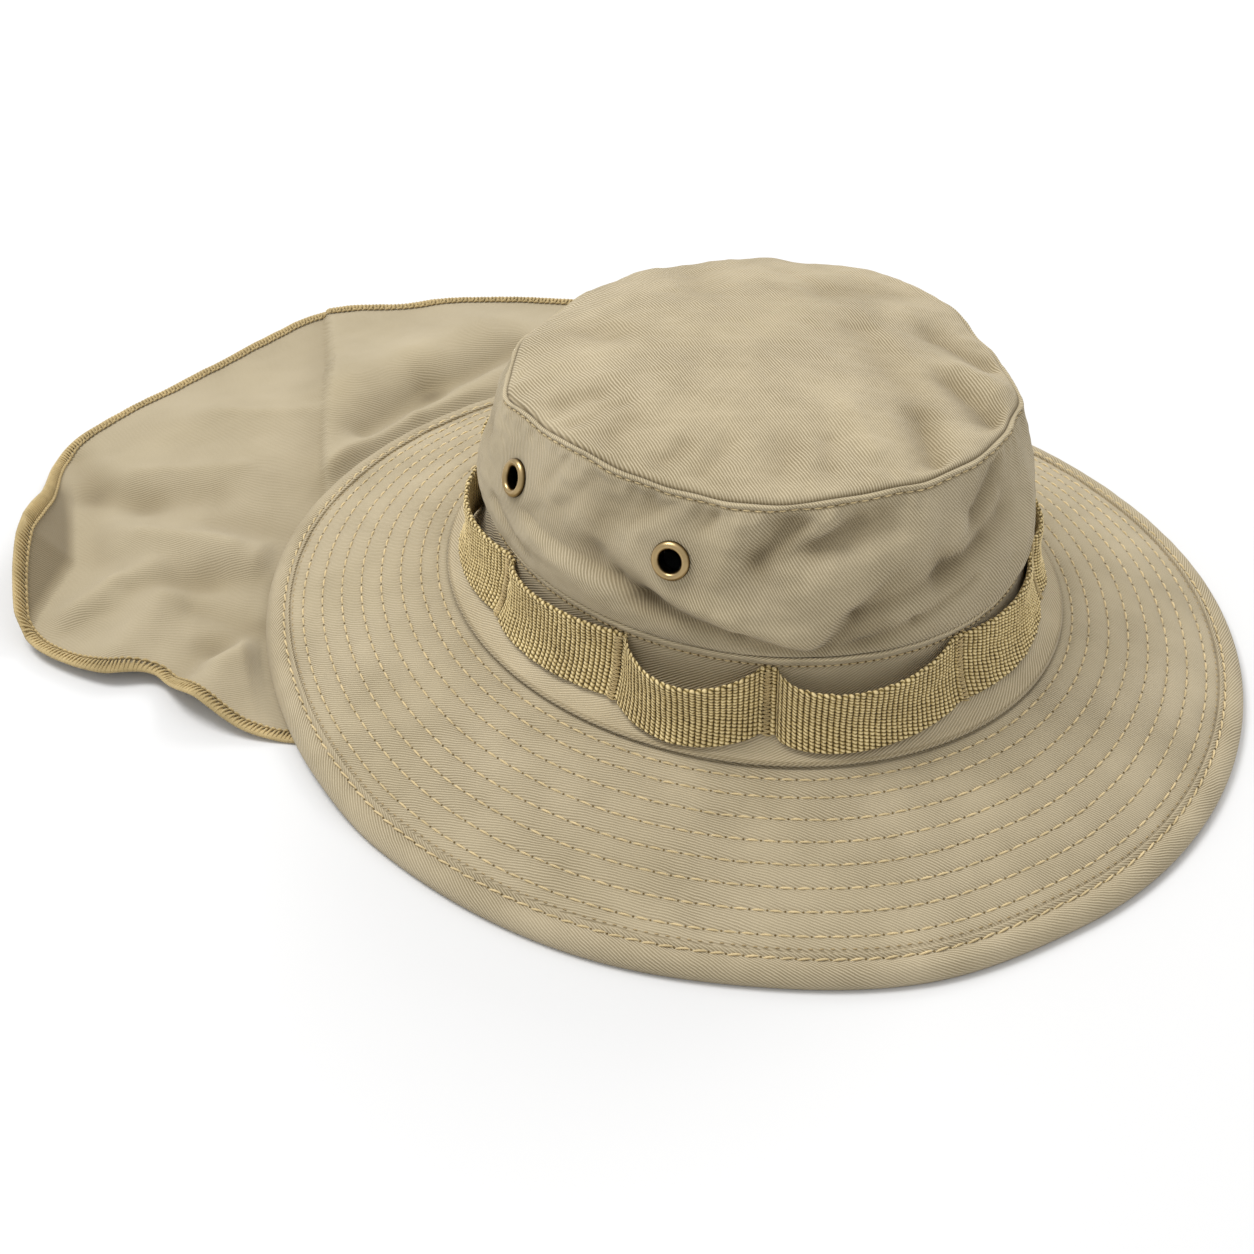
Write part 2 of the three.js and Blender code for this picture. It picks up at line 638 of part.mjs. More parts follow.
function webbingSection(station) {
  const lowest = BAND_ROWS[2].rise;
  const rises = [lowest, BAND_ROWS[3].rise, lowest + WEBBING_HEIGHT / BAND_HEIGHT];
  const inner = rises.map((rise) => {
    const place = bandPlace(rise);
    const height = (rise - lowest) / (rises[2] - lowest);
    const off = station.bulge * lerp(LOOP_LOW, LOOP_HIGH, height);
    const level = place.level - station.bulge * LOOP_SAG;
    return { reach: place.reach + GAP + off, level };
  });
  const outer = inner.map((row) => ({ reach: row.reach + WEBBING_WALL, level: row.level }));
  const section = outer.concat(inner.reverse());
  return section.map((row) => ovalPoint(station.angle, row.reach, row.level));
}

addPiece("webbing", ring(webbingStations(), webbingSection), STRAP);

// Flap and hem

function flapPoint(row) {
  return new THREE.Vector2(FLAP_SHIFT + row.across * FLAP_WIDTH, row.back * FLAP_BACK);
}

// Moves an open outline sideways, to the left of its direction, by the same distance all along.
function setIn(points, distance) {
  return points.map((point, index) => {
    const before = points[Math.max(index - 1, 0)];
    const after = points[Math.min(index + 1, points.length - 1)];
    const arriving = index > 0 ? point.clone().sub(before).normalize() : null;
    const leaving = index < points.length - 1 ? after.clone().sub(point).normalize() : null;
    const along = (arriving ?? leaving).clone().add(leaving ?? arriving).normalize();
    const normal = new THREE.Vector2(along.y, -along.x);
    const slant = (arriving ?? leaving).dot(along);
    return point.clone().addScaledVector(normal, distance / slant);
  });
}

// A point on the seam that joins the flap to the brim near the groove.
function seamPoint(angle, reach) {
  const point = ovalPoint(angle, reach, 0);
  return new THREE.Vector2(point.x, point.y);
}

// The whole free outline, clockwise from above, and the same line set in for hem and cloth.
const outline = [
  seamPoint(180 - FLAP_SEAM_ANGLE, FLAP_SEAT),
  ...FLAP_RIGHT.map(flapPoint),
  ...FLAP_FAR.slice(1, -1).map(flapPoint),
  ...FLAP_LEFT.map(flapPoint).reverse(),
  seamPoint(FLAP_SEAM_ANGLE, FLAP_SEAT),
];
const hemInner = setIn(outline, HEM_WIDTH);
const clothEdge = setIn(outline, HEM_WIDTH + GAP);

// The point at a share of a line's run, with the same number of steps to every stretch.
function alongLine(points, share) {
  const run = THREE.MathUtils.clamp(share, 0, 1) * (points.length - 1);
  const index = Math.min(Math.floor(run), points.length - 2);
  return points[index].clone().lerp(points[index + 1], run - index);
}

const rightCount = FLAP_RIGHT.length + 1;
const farCount = FLAP_FAR.length;
const rightEdge = clothEdge.slice(0, rightCount);
const farEdge = clothEdge.slice(rightCount - 1, rightCount + farCount - 1);
const leftEdge = clothEdge.slice(rightCount + farCount - 2).reverse();

// The sewn edge under the brim, from the right end of the cloth round the back to the left.
const seamFrom = ovalPlace(rightEdge[0].x, rightEdge[0].y);
const seamTo = ovalPlace(leftEdge[0].x, leftEdge[0].y);

function seamEdge(share) {
  const angle = lerp(seamFrom.angle, seamTo.angle, share);
  return seamPoint(angle, lerp(seamFrom.reach, seamTo.reach, share));
}

// Blends the four edges into one sheet: across 0 to 1 from right to left, down 0 to 1 from seam out.
function flapPlan(across, down) {
  const near = seamEdge(across);
  const far = alongLine(farEdge, across);
  const right = alongLine(rightEdge, down);
  const left = alongLine(leftEdge, down);
  const plan = near.multiplyScalar(1 - down).addScaledVector(far, down);
  plan.addScaledVector(right, 1 - across).addScaledVector(left, across);
  plan.addScaledVector(seamEdge(0), -(1 - across) * (1 - down));
  plan.addScaledVector(seamEdge(1), -across * (1 - down));
  plan.addScaledVector(farEdge[0], -(1 - across) * down);
  plan.addScaledVector(farEdge[farCount - 1], -across * down);
  return plan;
}

// Height of the underside of cloth or hem: up against the brim at the seam, down on the table
// where it passes under the binding, and beyond the rim over its folds.
function flapLevel(x, y, wall) {
  const place = ovalPlace(x, y);
  const share = place.reach / rimReach(place.angle);
  if (share < 1) {
    const under = brimTop(place.angle, Math.max(share, 0)) - BRIM_WALL;
    return (under - FLAP_CLEAR - wall) * (1 - ease(BINDING_START / 2, BINDING_START, share));
  }
  let rise = 0;
  for (const fold of FLAP_FOLDS) {
    const from = flapPoint({ across: fold.fromAcross, back: fold.fromBack });
    const to = flapPoint({ across: fold.toAcross, back: fold.toBack });
    rise += fold.rise * crease(x, y, from.x, from.y, to.x, to.y, fold.width * FLAP_WIDTH);
  }
  return FLAP_LIFT * Math.max(0, rise) * ease(LIFT_START, LIFT_FULL, share);
}

const flapColumns = (farCount - 1) * OUTLINE_SPLIT;
const flapRows = (rightCount - 1) * OUTLINE_SPLIT;

function flapSection(across) {
  const under = evenShares(flapRows).map((down) => {
    const plan = flapPlan(across, down);
    return new THREE.Vector3(plan.x, plan.y, flapLevel(plan.x, plan.y, FLAP_WALL));
  });
  const over = under.map((point) => point.clone().setZ(point.z + FLAP_WALL));
  return under.concat(over.reverse());
}

const flapSections = evenShares(flapColumns).map(flapSection);
addPiece("flap", closeUp(new LoftGeometry(flapSections, { capStart: true, capEnd: true })), CLOTH);

// Each stretch of the outline is split into short steps so that the hem follows the folds.
function hemSections() {
  const steps = (outline.length - 1) * OUTLINE_SPLIT;
  return evenShares(steps).map((share) => {
    const [outer, inner] = [outline, hemInner].map((line) => {
      const plan = alongLine(line, share);
      return new THREE.Vector3(plan.x, plan.y, flapLevel(plan.x, plan.y, HEM_WALL));
    });
    return [
      outer,
      outer.clone().setZ(outer.z + HEM_WALL),
      inner.clone().setZ(inner.z + HEM_WALL),
      inner,
    ];
  });
}

addPiece("flap_hem", closeUp(new LoftGeometry(hemSections(), { capStart: true, capEnd: true })), THREAD);

// The origin is on the table, under the middle of everything that lies on it.
const bounds = new THREE.Box3().setFromObject(hat, true);
const middle = bounds.getCenter(new THREE.Vector3());
hat.position.set(-middle.x, -middle.y, -bounds.min.z);

export default hat;
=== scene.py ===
import math
from collections import namedtuple

import bpy
import numpy as np
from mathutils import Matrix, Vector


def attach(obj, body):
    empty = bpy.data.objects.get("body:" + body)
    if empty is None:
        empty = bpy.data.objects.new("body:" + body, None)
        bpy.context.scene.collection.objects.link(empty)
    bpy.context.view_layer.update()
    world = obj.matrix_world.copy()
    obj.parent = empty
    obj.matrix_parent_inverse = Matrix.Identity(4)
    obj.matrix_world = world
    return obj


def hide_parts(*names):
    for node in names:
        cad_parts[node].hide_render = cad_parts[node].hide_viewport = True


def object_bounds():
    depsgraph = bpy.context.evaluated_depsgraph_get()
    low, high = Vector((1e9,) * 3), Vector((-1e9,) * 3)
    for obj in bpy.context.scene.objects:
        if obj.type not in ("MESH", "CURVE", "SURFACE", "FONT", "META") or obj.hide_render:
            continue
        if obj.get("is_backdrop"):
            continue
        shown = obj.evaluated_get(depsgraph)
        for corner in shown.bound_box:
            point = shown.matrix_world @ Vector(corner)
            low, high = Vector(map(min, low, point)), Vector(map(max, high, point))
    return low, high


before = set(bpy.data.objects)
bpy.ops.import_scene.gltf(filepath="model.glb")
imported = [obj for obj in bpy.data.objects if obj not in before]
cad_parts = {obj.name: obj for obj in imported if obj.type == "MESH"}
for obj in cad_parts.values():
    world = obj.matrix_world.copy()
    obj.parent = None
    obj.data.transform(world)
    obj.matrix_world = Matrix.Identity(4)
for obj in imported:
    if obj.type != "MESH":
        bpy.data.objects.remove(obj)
CAD_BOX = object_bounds()

# Wide brimmed sun hat with webbing loops round the crown and a neck flap, lying on a table.
# Shapes are worked out in millimetres in the hat's own frame: its axis is Z, the front faces -Y and
# the wearer's right side is at -X. HAT_AXIS is where that axis stands in the shared frame.
HAT_AXIS = np.array([6.493, -47.587, 0.0])

# Groove between band and brim.
GROOVE_LENGTH = 216
GROOVE_WIDTH = 193
GROOVE_LEVEL = 30
GAP = 0.3

# Brim and its binding.
BRIM_RUN = 64.3
BRIM_WALL = 1.8
BRIM_SEAT = 3.5
BRIM_BOW = 1.2
BINDING_WIDTH = 9.5
BINDING_WALL = 1.0
BRIM_COLUMNS = 600

# Stitch rows of the brim, as shares of the way from groove to rim.
FIRST_ROW = 0.06
SECOND_ROW = 0.15
ROW_STEP = 0.107
ROW_COUNT = 8
STITCH_PITCH = 5.4
STITCH_LENGTH = 4.1
STITCH_RADIUS = 0.38
EDGE_ROW = 0.85
EDGE_CREVICE = 8.85
EDGE_PITCH = 3.3
EDGE_LENGTH = 1.7
BINDING_PITCH = 5.2
BINDING_LENGTH = 4.3
HOLE_RADIUS = 0.36
CREVICE = 0.7
ROW_DEPTH = 0.44
ROW_WIDTH = 1.25
ROW_POINTS = 2400

# Band under the crown.
BAND_HEIGHT = 29
BAND_INSET = 14.5
BAND_WALL = 1.6
BAND_ROW_DROP = 2.4
BAND_ROW_PITCH = 2.6
BAND_ROW_LENGTH = 1.9
BAND_COLUMNS = 440

# Side panel of the crown, from the band up to the seam.
SIDE_HEIGHT = 49.5
SIDE_BULGE = 5.2
BULGE_SKEW = 0.62
SEAM_INSET = 23
CROWN_WALL = 1.6
FOLD_DEPTH = 4.1
FOLD_FADE = 0.1
CREASE_GAIN = 0.95
SIDE_COLUMNS = 560
TOPSTITCH_DROP = 1.1
TOPSTITCH_PITCH = 3.6
TOPSTITCH_LENGTH = 2.7

# Top panel of the crown.
TIP_RISE = 8
TIP_ROUNDING = 2.4
TIP_FADE = 0.05
TIP_GAIN = 1.25
TIP_COLUMNS = 420
TIP_SHOULDER = 2.1
TIP_PLEATS = 52

# Webbing strap, tacked to the band between its loops.
WEBBING_HEIGHT = 21.4
WEBBING_RISE = 0.17
WEBBING_WALL = 1.6
LOOP_LOW = 7.2
LOOP_HIGH = 12.2
LOOP_SAG = 3
LOOP_SHOULDER = 0.8
RIBS_ROUND = 330
RIB_POINTS = 4
BEAD_ROWS = 18
BEAD_POINTS = 3
BEAD_RELIEF = 0.68
TACK_WIDTH = 2.6
STRAP_RADIUS = 86
TACK_PITCH = 0.62
FRAYED_ENDS = 7

# Vent eyelets.
EYELET_OUTER = 12.6
EYELET_LEVEL = 0.6
EYELET_CALM = 16
EYELET_HOLE = 4.7
EYELET_DEPTH = 12
EYELET_COLUMNS = 72

# Part of the rim, in degrees, that is raised over the flap.
RAISE_LEFT = 20
RAISE_RIGHT = 162
RAISE_RAMP = 12

# Neck flap and its hem.
FLAP_WIDTH = 301
FLAP_BACK = 267
FLAP_SHIFT = -22
FLAP_WALL = 1.2
FLAP_LIFT = 16
FLAP_SEAT = 1
FLAP_CLEAR = 0.7
FLAP_COLUMNS = 191
FLAP_ROWS = 157
FLAP_SEAM_ANGLE = 10
LIFT_START = 1.02
LIFT_FULL = 1.14
BASE_FULL = 1.42
HEM_WIDTH = 3
HEM_WALL = 1.6
HEM_OVERLAP = 1.6
HEM_POINTS = 900
OVERLOCK_PITCH = 1.5
CHAIN_PITCH = 2.3

RIM_LEVEL = BINDING_WALL + GAP + BRIM_WALL
RIM_RAISE = HEM_WALL + GAP
BINDING_START = 1 - BINDING_WIDTH / BRIM_RUN
BAND_BASE = GROOVE_LEVEL + GAP + BAND_WALL
SIDE_BASE = BAND_BASE + BAND_HEIGHT + GAP
DEGREE_RUN = math.radians(1) * (GROOVE_WIDTH / 2 - BAND_INSET)
TIP_HALF = GROOVE_WIDTH / 2 - SEAM_INSET

# Small wrinkles of each cloth: height, length and seed.
BRIM_WRINKLES = [(0.13, 22, 5), (0.07, 6, 6)]
BINDING_WRINKLES = [(0.13, 9, 15), (0.06, 4, 16)]
BAND_WRINKLES = [(0.16, 14, 31)]
SIDE_WRINKLES = [(0.3, 12, 41), (0.13, 5, 42)]
TIP_WRINKLES = [(0.26, 15, 51), (0.16, 6, 52)]
FLAP_WRINKLES = [(0.35, 34, 81), (0.1, 9, 82)]

# Ridges and grooves along a seam: distance from the edge, width and height.
BAND_LINES = [(BAND_ROW_DROP, 0.6, -0.3), (0, 0.9, 0.95)]
SEAM_LINES = [(TOPSTITCH_DROP, 0.5, -0.5), (0, 0.5, 0.4)]
FOOT_LINES = [(0, 1.0, -1.3)]

# Their painted shade and painted highlight: distance from the edge, width and tone.
BAND_PAINTED_SHADING = [(0, 1.2, 0.45), (BAND_ROW_DROP, 0.7, -0.2)]
GROOVE_PAINTED_SHADE = [(0, 0.5, -0.3)]
SEAM_PAINTED_SHADING = [(0, 0.6, 0.4), (TOPSTITCH_DROP, 0.5, -0.3)]
FOOT_PAINTED_SHADE = [(0, 0.7, -0.4)]

# Section of a rolled edge, in steps outwards and up from the top of its panel, and the painted highlight
# and shade of its rows.
BAND_ROLL = [(0.85, 0.5), (0.2, 0.95), (-0.8, 0.4)]
BAND_ROLL_PAINTED_SHADING = (0.45, 0.3, -0.5)
SEAM_ROLL = [(0.1, 0.4), (-0.4, 0.6), (-1.0, 0.4), (-1.4, -0.2)]
SEAM_ROLL_PAINTED_SHADING = (0.45, 0.3, -0.2, -0.5)

Fold = namedtuple("Fold", "start_angle start_level end_angle end_level width depth sharp")
Crease = namedtuple("Crease", "start_x start_y end_x end_y width rise sharp")

# Seam between side and top panel: angle, reach as a share of SEAM_INSET, rise of SIDE_HEIGHT.
SEAM = [
    (0, 0, 0),
    (30, 0, -0.1),
    (60, 0, -0.18),
    (100, 0, -0.25),
    (123, 0.02, -0.18),
    (140, 0.11, -0.15),
    (156, 0, -0.07),
    (176, 0, 0),
    (215, 0, 0),
    (243, -0.02, 0.07),
    (265, 0, 0.06),
    (290, 0.04, 0.02),
    (304, 0.09, -0.02),
    (330, 0, -0.05),
    (345, 0, 0.01),
]

# Rim: angle, and reach beyond a true oval as a share of BRIM_RUN.
RIM = [
    (0, -0.02),
    (60, 0),
    (112, 0.03),
    (148, -0.015),
    (175, 0.01),
    (203, 0.035),
    (217, 0.025),
    (236, 0.05),
    (256, 0),
    (290, -0.02),
    (325, 0.005),
]

# Outline of the band from the groove up: inset as a share of BAND_INSET, rise of BAND_HEIGHT.
BAND_ROWS = [
    (0, 0),
    (0.31, 0.05),
    (0.66, 0.19),
    (0.9, 0.52),
    (1, 1),
]

# Folds of the side panel. Angles in degrees, levels as shares of its height, width as a share of
# SIDE_HEIGHT, depth as a share of FOLD_DEPTH with valleys below zero, sharp from 0 to 1.
SIDE_FOLDS = [
    Fold(193, 0.88, 183, 0.68, 0.13, -0.55, 0.2),
    Fold(199, 0.86, 192, 0.7, 0.12, 0.35, 0),
    Fold(206, 0.92, 200, 0.8, 0.12, -0.4, 0.3),
    Fold(214, 0.9, 208, 0.62, 0.14, 0.45, 0),
    Fold(223, 0.9, 217, 0.68, 0.13, -0.8, 0.3),
    Fold(231, 0.92, 222, 0.7, 0.1, 0.5, 0),
    Fold(244, 0.86, 228, 0.74, 0.12, -0.75, 0.4),
    Fold(252, 0.78, 226, 0.5, 0.16, 0.55, 0),
    Fold(160, 0.5, 182, 0.42, 0.1, -0.4, 0.3),
    Fold(182, 0.46, 195, 0.3, 0.12, -0.7, 0.3),
    Fold(195, 0.3, 224, 0.06, 0.12, -0.55, 0.2),
    Fold(168, 0.36, 184, 0.26, 0.12, 0.5, 0),
    Fold(200, 0.42, 228, 0.2, 0.12, 0.6, 0),
    Fold(231, 0.08, 244, 0.55, 0.12, -0.5, 0.2),
    Fold(238, 0.1, 257, 0.52, 0.13, -0.5, 0.2),
    Fold(246, 0.26, 262, 0.66, 0.1, 0.5, 0),
    Fold(257, 0.5, 277, 0.6, 0.14, -0.75, 0.2),
    Fold(278, 0.84, 268, 0.7, 0.13, -0.45, 0.2),
    Fold(284, 0.3, 292, 0.6, 0.14, 0.4, 0),
    Fold(304, 0.3, 314, 0.55, 0.24, -0.65, 0),
    Fold(312, 0.2, 326, 0.7, 0.15, -0.5, 0.3),
    Fold(345, 0.5, 368, 0.35, 0.16, -0.5, 0.3),
    Fold(32, 0.75, 44, 0.45, 0.15, -0.6, 0.3),
    Fold(58, 0.3, 74, 0.55, 0.16, 0.5, 0),
    Fold(88, 0.65, 104, 0.4, 0.16, -0.7, 0.3),
    Fold(120, 0.4, 136, 0.62, 0.14, -0.5, 0.3),
]

# Narrow creases of the side panel, given like its folds.
SIDE_CREASES = [
    Fold(190, 0.73, 198, 0.93, 0.05, -0.3, 0.3),
    Fold(204.5, 0.8, 208.5, 0.95, 0.04, -0.25, 0.3),
    Fold(216, 0.66, 227, 0.9, 0.055, -0.42, 0.4),
    Fold(222, 0.7, 239, 0.86, 0.05, -0.35, 0.3),
    Fold(229, 0.72, 246, 0.8, 0.05, -0.3, 0.3),
    Fold(161, 0.44, 188, 0.35, 0.04, -0.34, 0.45),
    Fold(188, 0.36, 194, 0.27, 0.05, -0.4, 0.5),
    Fold(194, 0.27, 214, 0.17, 0.045, -0.5, 0.4),
    Fold(214, 0.17, 229, 0.03, 0.06, -0.32, 0.2),
    Fold(206, 0.34, 227, 0.13, 0.06, 0.3, 0),
    Fold(228.5, 0.02, 236.5, 0.3, 0.06, -0.3, 0.2),
    Fold(236.5, 0.3, 261, 0.49, 0.05, -0.4, 0.4),
    Fold(235, 0.04, 249.5, 0.2, 0.05, -0.42, 0.3),
    Fold(249.5, 0.2, 265, 0.33, 0.04, -0.4, 0.4),
    Fold(231, 0.33, 246, 0.62, 0.06, 0.3, 0),
    Fold(255, 0.41, 270, 0.52, 0.045, -0.4, 0.5),
    Fold(260.5, 0.51, 276.5, 0.7, 0.06, 0.35, 0),
    Fold(268, 0.7, 280, 0.9, 0.06, -0.35, 0.3),
    Fold(172, 0.61, 180, 0.91, 0.07, -0.3, 0.2),
    Fold(166, 0.7, 170, 0.92, 0.05, -0.25, 0.2),
    Fold(150, 0.3, 165, 0.15, 0.05, -0.35, 0.4),
    Fold(284, 0.2, 292, 0.5, 0.05, -0.3, 0.4),
    Fold(18, 0.2, 34, 0.5, 0.05, -0.35, 0.5),
    Fold(50, 0.7, 60, 0.4, 0.05, -0.3, 0.4),
    Fold(76, 0.15, 92, 0.5, 0.05, -0.4, 0.5),
    Fold(112, 0.2, 122, 0.6, 0.05, -0.3, 0.4),
    Fold(326, 0.1, 338, 0.45, 0.05, -0.4, 0.5),
]

# Dents of the top panel. Levels count from 0 at the centre to 1 at the seam, width is a share of
# the panel's half width and depth a share of FOLD_DEPTH.
TIP_FOLDS = [
    Fold(151, 0.9, 155, 0.76, 0.07, -0.35, 0.2),
    Fold(176, 0.88, 175, 0.76, 0.07, -0.35, 0.2),
    Fold(194, 0.9, 197, 0.8, 0.06, -0.3, 0.2),
    Fold(226, 0.88, 230, 0.74, 0.08, -0.3, 0.2),
    Fold(263, 1.05, 275, 0.82, 0.08, -0.75, 0.2),
    Fold(287, 1.05, 299, 0.84, 0.09, -0.8, 0.2),
    Fold(299, 1.04, 304, 0.88, 0.08, 0.5, 0),
    Fold(313, 0.99, 326, 0.8, 0.08, -0.65, 0.2),
    Fold(352, 0.85, 370, 0.6, 0.12, -0.35, 0.1),
    Fold(60, 0.85, 66, 0.6, 0.12, -0.4, 0.1),
    Fold(110, 0.88, 116, 0.66, 0.1, -0.4, 0.1),
    Fold(284, 0.7, 296, 0.56, 0.12, -0.35, 0),
    Fold(312, 0.5, 330, 0.46, 0.1, -0.3, 0),
    Fold(206, 0.9, 210, 0.72, 0.05, -0.22, 0),
    Fold(238, 0.92, 243, 0.76, 0.05, -0.25, 0),
    Fold(163, 0.92, 166, 0.7, 0.05, -0.22, 0),
    Fold(252, 0.9, 258, 0.6, 0.06, 0.25, 0),
]

# Tacks of the webbing: angle, how far the loop after each stands off, as a share of LOOP_LOW and
# LOOP_HIGH, and where along the loop it stands off most.
TACKS = [
    (12, 0.8, 0.5),
    (47, 0.9, 0.5),
    (82, 0.9, 0.5),
    (118, 0.5, 0.4),
    (156.5, 0.3, 0.35),
    (189.5, 1.05, 0.48),
    (219.6, 0.88, 0.34),
    (261.5, 0.2, 0.5),
    (301, 0.45, 0.4),
    (337, 0.8, 0.5),
]

EYELETS = [
    ("eyelet_right_front", 199.5),
    ("eyelet_right_rear", 156.5),
    ("eyelet_left_front", 340.5),
    ("eyelet_left_rear", 23.5),
]

# Outline of the flap, hem included: across as a share of FLAP_WIDTH from the flap's middle, back
# as a share of FLAP_BACK.
FLAP_RIGHT = [
    (-0.306, 0.14),
    (-0.357, 0.212),
    (-0.408, 0.284),
    (-0.438, 0.347),
    (-0.451, 0.426),
    (-0.441, 0.497),
    (-0.48, 0.547),
    (-0.5, 0.63),
    (-0.495, 0.686),
]
FLAP_FAR = [
    (-0.495, 0.686),
    (-0.482, 0.716),
    (-0.429, 0.783),
    (-0.34, 0.869),
    (-0.235, 0.981),
    (-0.105, 0.996),
    (0.06, 1),
    (0.21, 0.995),
    (0.3, 0.922),
    (0.357, 0.876),
    (0.43, 0.79),
    (0.5, 0.678),
]
FLAP_LEFT = [
    (0.445, 0.15),
    (0.495, 0.225),
    (0.535, 0.3),
    (0.558, 0.363),
    (0.565, 0.431),
    (0.548, 0.494),
    (0.535, 0.55),
    (0.515, 0.618),
    (0.5, 0.678),
]

# Main folds of the flap: across and back as in the outline, width as a share of FLAP_WIDTH and
# rise as a share of FLAP_LIFT.
FLAP_FOLDS = [
    Crease(0.16, 0.87, 0.1, 0.8, 0.05, 0.15, 0),
    Crease(0.1, 0.8, -0.04, 0.66, 0.055, 0.15, 0),
    Crease(0.0, 0.66, 0.29, 0.65, 0.035, 0.2, 0),
    Crease(0.12, 0.81, 0.32, 0.79, 0.05, 0.2, 0),
    Crease(-0.22, 0.87, -0.11, 0.77, 0.05, 0.18, 0),
    Crease(-0.09, 0.9, 0.04, 0.79, 0.06, 0.15, 0),
    Crease(-0.3, 0.745, -0.21, 0.57, 0.04, 0.32, 0),
    Crease(-0.42, 0.655, -0.33, 0.66, 0.035, 0.28, 0),
    Crease(-0.44, 0.56, -0.35, 0.6, 0.03, 0.28, 0),
    Crease(-0.44, 0.41, -0.33, 0.44, 0.045, 0.4, 0),
    Crease(0.5, 0.5, 0.38, 0.66, 0.05, 0.35, 0),
]

# Crease along which the flap's right edge is turned up, in millimetres in the hat's own frame.
TURN_UP = [(-89, 268), (-97, 252), (-108, 234), (-133, 201), (-154, 189), (-176, 177)]
TURN_UP_RUN = 14

# Pressed crease down the flap's middle: the cloth steps down on its right side, towards -X.
PRESSED = [(39, 258), (12, 226), (-21, 194), (-46, 166)]
PRESSED_STEP = 1.2
PRESSED_RUN = 11

# Lesser creases of the flap, in millimetres in the hat's own frame.
FLAP_CREASES = [
    Crease(-92, 254, -99, 232, 7, -2.6, 0.2),
    Crease(-103, 231, -92, 212, 7, -2.4, 0),
    Crease(-92, 212, -73, 197, 8, -2, 0),
    Crease(-82, 182, -68, 164, 8, -2.2, 0),
    Crease(-85, 227, -56, 201, 4, 1.2, 0.3),
    Crease(-40, 238, -12, 206, 4, 1.2, 0.3),
    Crease(-109, 193, -91, 166, 5, 1.8, 0.2),
    Crease(-130, 172, -108, 160, 7, -2.4, 0.1),
    Crease(-108, 160, -89, 144, 7, -2.4, 0.1),
    Crease(-155, 177, -134, 178, 5, 1.6, 0.1),
    Crease(-134, 178, -120, 174, 5, 1.6, 0.1),
    Crease(-159, 172, -146, 170, 5, -1.6, 0.2),
    Crease(-148, 124, -131, 129, 7, -2.6, 0.1),
    Crease(-131, 129, -111, 128, 7, -2.6, 0.1),
    Crease(-138, 116, -120, 117, 5, 2.2, 0.1),
    Crease(-122, 150, -112, 131, 6, -2, 0.1),
    Crease(-6, 188, 32, 191, 6, -4.2, 0.1),
    Crease(32, 191, 76, 186, 6, -4.2, 0.1),
    Crease(-30, 179, 15, 181, 5, 1.4, 0),
    Crease(15, 181, 56, 178, 5, 1.4, 0),
    Crease(4, 204, 40, 206, 12, 2.4, 0),
    Crease(40, 206, 84, 200, 12, 2.4, 0),
    Crease(-60, 250, -20, 214, 20, 1.2, 0),
    Crease(-96, 238, -128, 196, 6, -1.2, 0.2),
]
FLAP_BASE = 3.4
FLAP_SOFTNESS = 0.9

# How much painted shade darkens the cloth in its valleys, and painted highlight lightens it on its ridges,
# for each millimetre of their depth.
BRIM_SHADE = 0.22
SIDE_SHADE = 0.09
TIP_SHADE = 0.07
FLAP_SHADE = 0.055

# How much painted shade darkens the flap on its turned up edge, and how much its painted shade and
# highlight change at its pressed crease.
STRIP_SHADE = 0.36
PRESSED_SHADE = 0.16


def lerp(a, b, share):
    return a + (b - a) * share


def ease(low, high, value):
    share = np.clip((value - low) / (high - low), 0, 1)
    return share * share * (3 - 2 * share)


def unit(vectors):
    return vectors / np.linalg.norm(vectors, axis=-1, keepdims=True)


def turn_between(start, end):
    """The angle from one direction to another, between -180 and 180 degrees."""
    return np.mod(end - start + 180, 360) - 180


def round_table(rows, angle, column=1):
    """Reads one column of a table of angles, eased between its rows all the way round."""
    turn = np.mod(angle, 360)
    starts = np.array([row[0] for row in rows], float)
    values = np.array([row[column] for row in rows], float)
    index = np.searchsorted(starts, turn, side="right") - 1
    after = (index + 1) % len(rows)
    span = np.mod(starts[after] - starts[index], 360)
    return lerp(values[index], values[after], ease(0, 1, (turn - starts[index]) / span))


def oval(angle, reach, level):
    turn = np.radians(angle)
    x = (GROOVE_WIDTH / 2 + reach) * np.cos(turn)
    y = (GROOVE_LENGTH / 2 + reach) * np.sin(turn)
    return np.stack(np.broadcast_arrays(x, y, level), axis=-1)


def oval_place(x, y):
    """The angle and reach of the oval that passes through points seen from above."""
    mean = (GROOVE_WIDTH + GROOVE_LENGTH) / 4
    reach = np.hypot(x, y) - mean
    for _ in range(8):
        size = np.hypot(x / (GROOVE_WIDTH / 2 + reach), y / (GROOVE_LENGTH / 2 + reach))
        reach = reach + (size - 1) * (mean + reach)
    angle = np.degrees(np.arctan2(y / (GROOVE_LENGTH / 2 + reach), x / (GROOVE_WIDTH / 2 + reach)))
    return angle, reach


def from_line(x, y, start, end):
    """How far points lie from a straight line with two ends, and whether on its right."""
    run_x = end[0] - start[0]
    run_y = end[1] - start[1]
    along = np.clip(((x - start[0]) * run_x + (y - start[1]) * run_y) / (run_x**2 + run_y**2), 0, 1)
    away = np.hypot(x - start[0] - along * run_x, y - start[1] - along * run_y)
    return away, (y - start[1]) * run_x < (x - start[0]) * run_y


def crease(x, y, fold):
    """The rise of one fold: round like a bell, or with a cusp where it is sharp."""
    away = from_line(x, y, fold[:2], fold[2:4])[0] / fold.width
    return fold.rise * lerp(np.exp(-away**2), np.exp(-1.7 * away), fold.sharp)


def creases(folds, x, y):
    """Adds up folds that are given in millimetres."""
    return sum(crease(x, y, fold) for fold in folds)


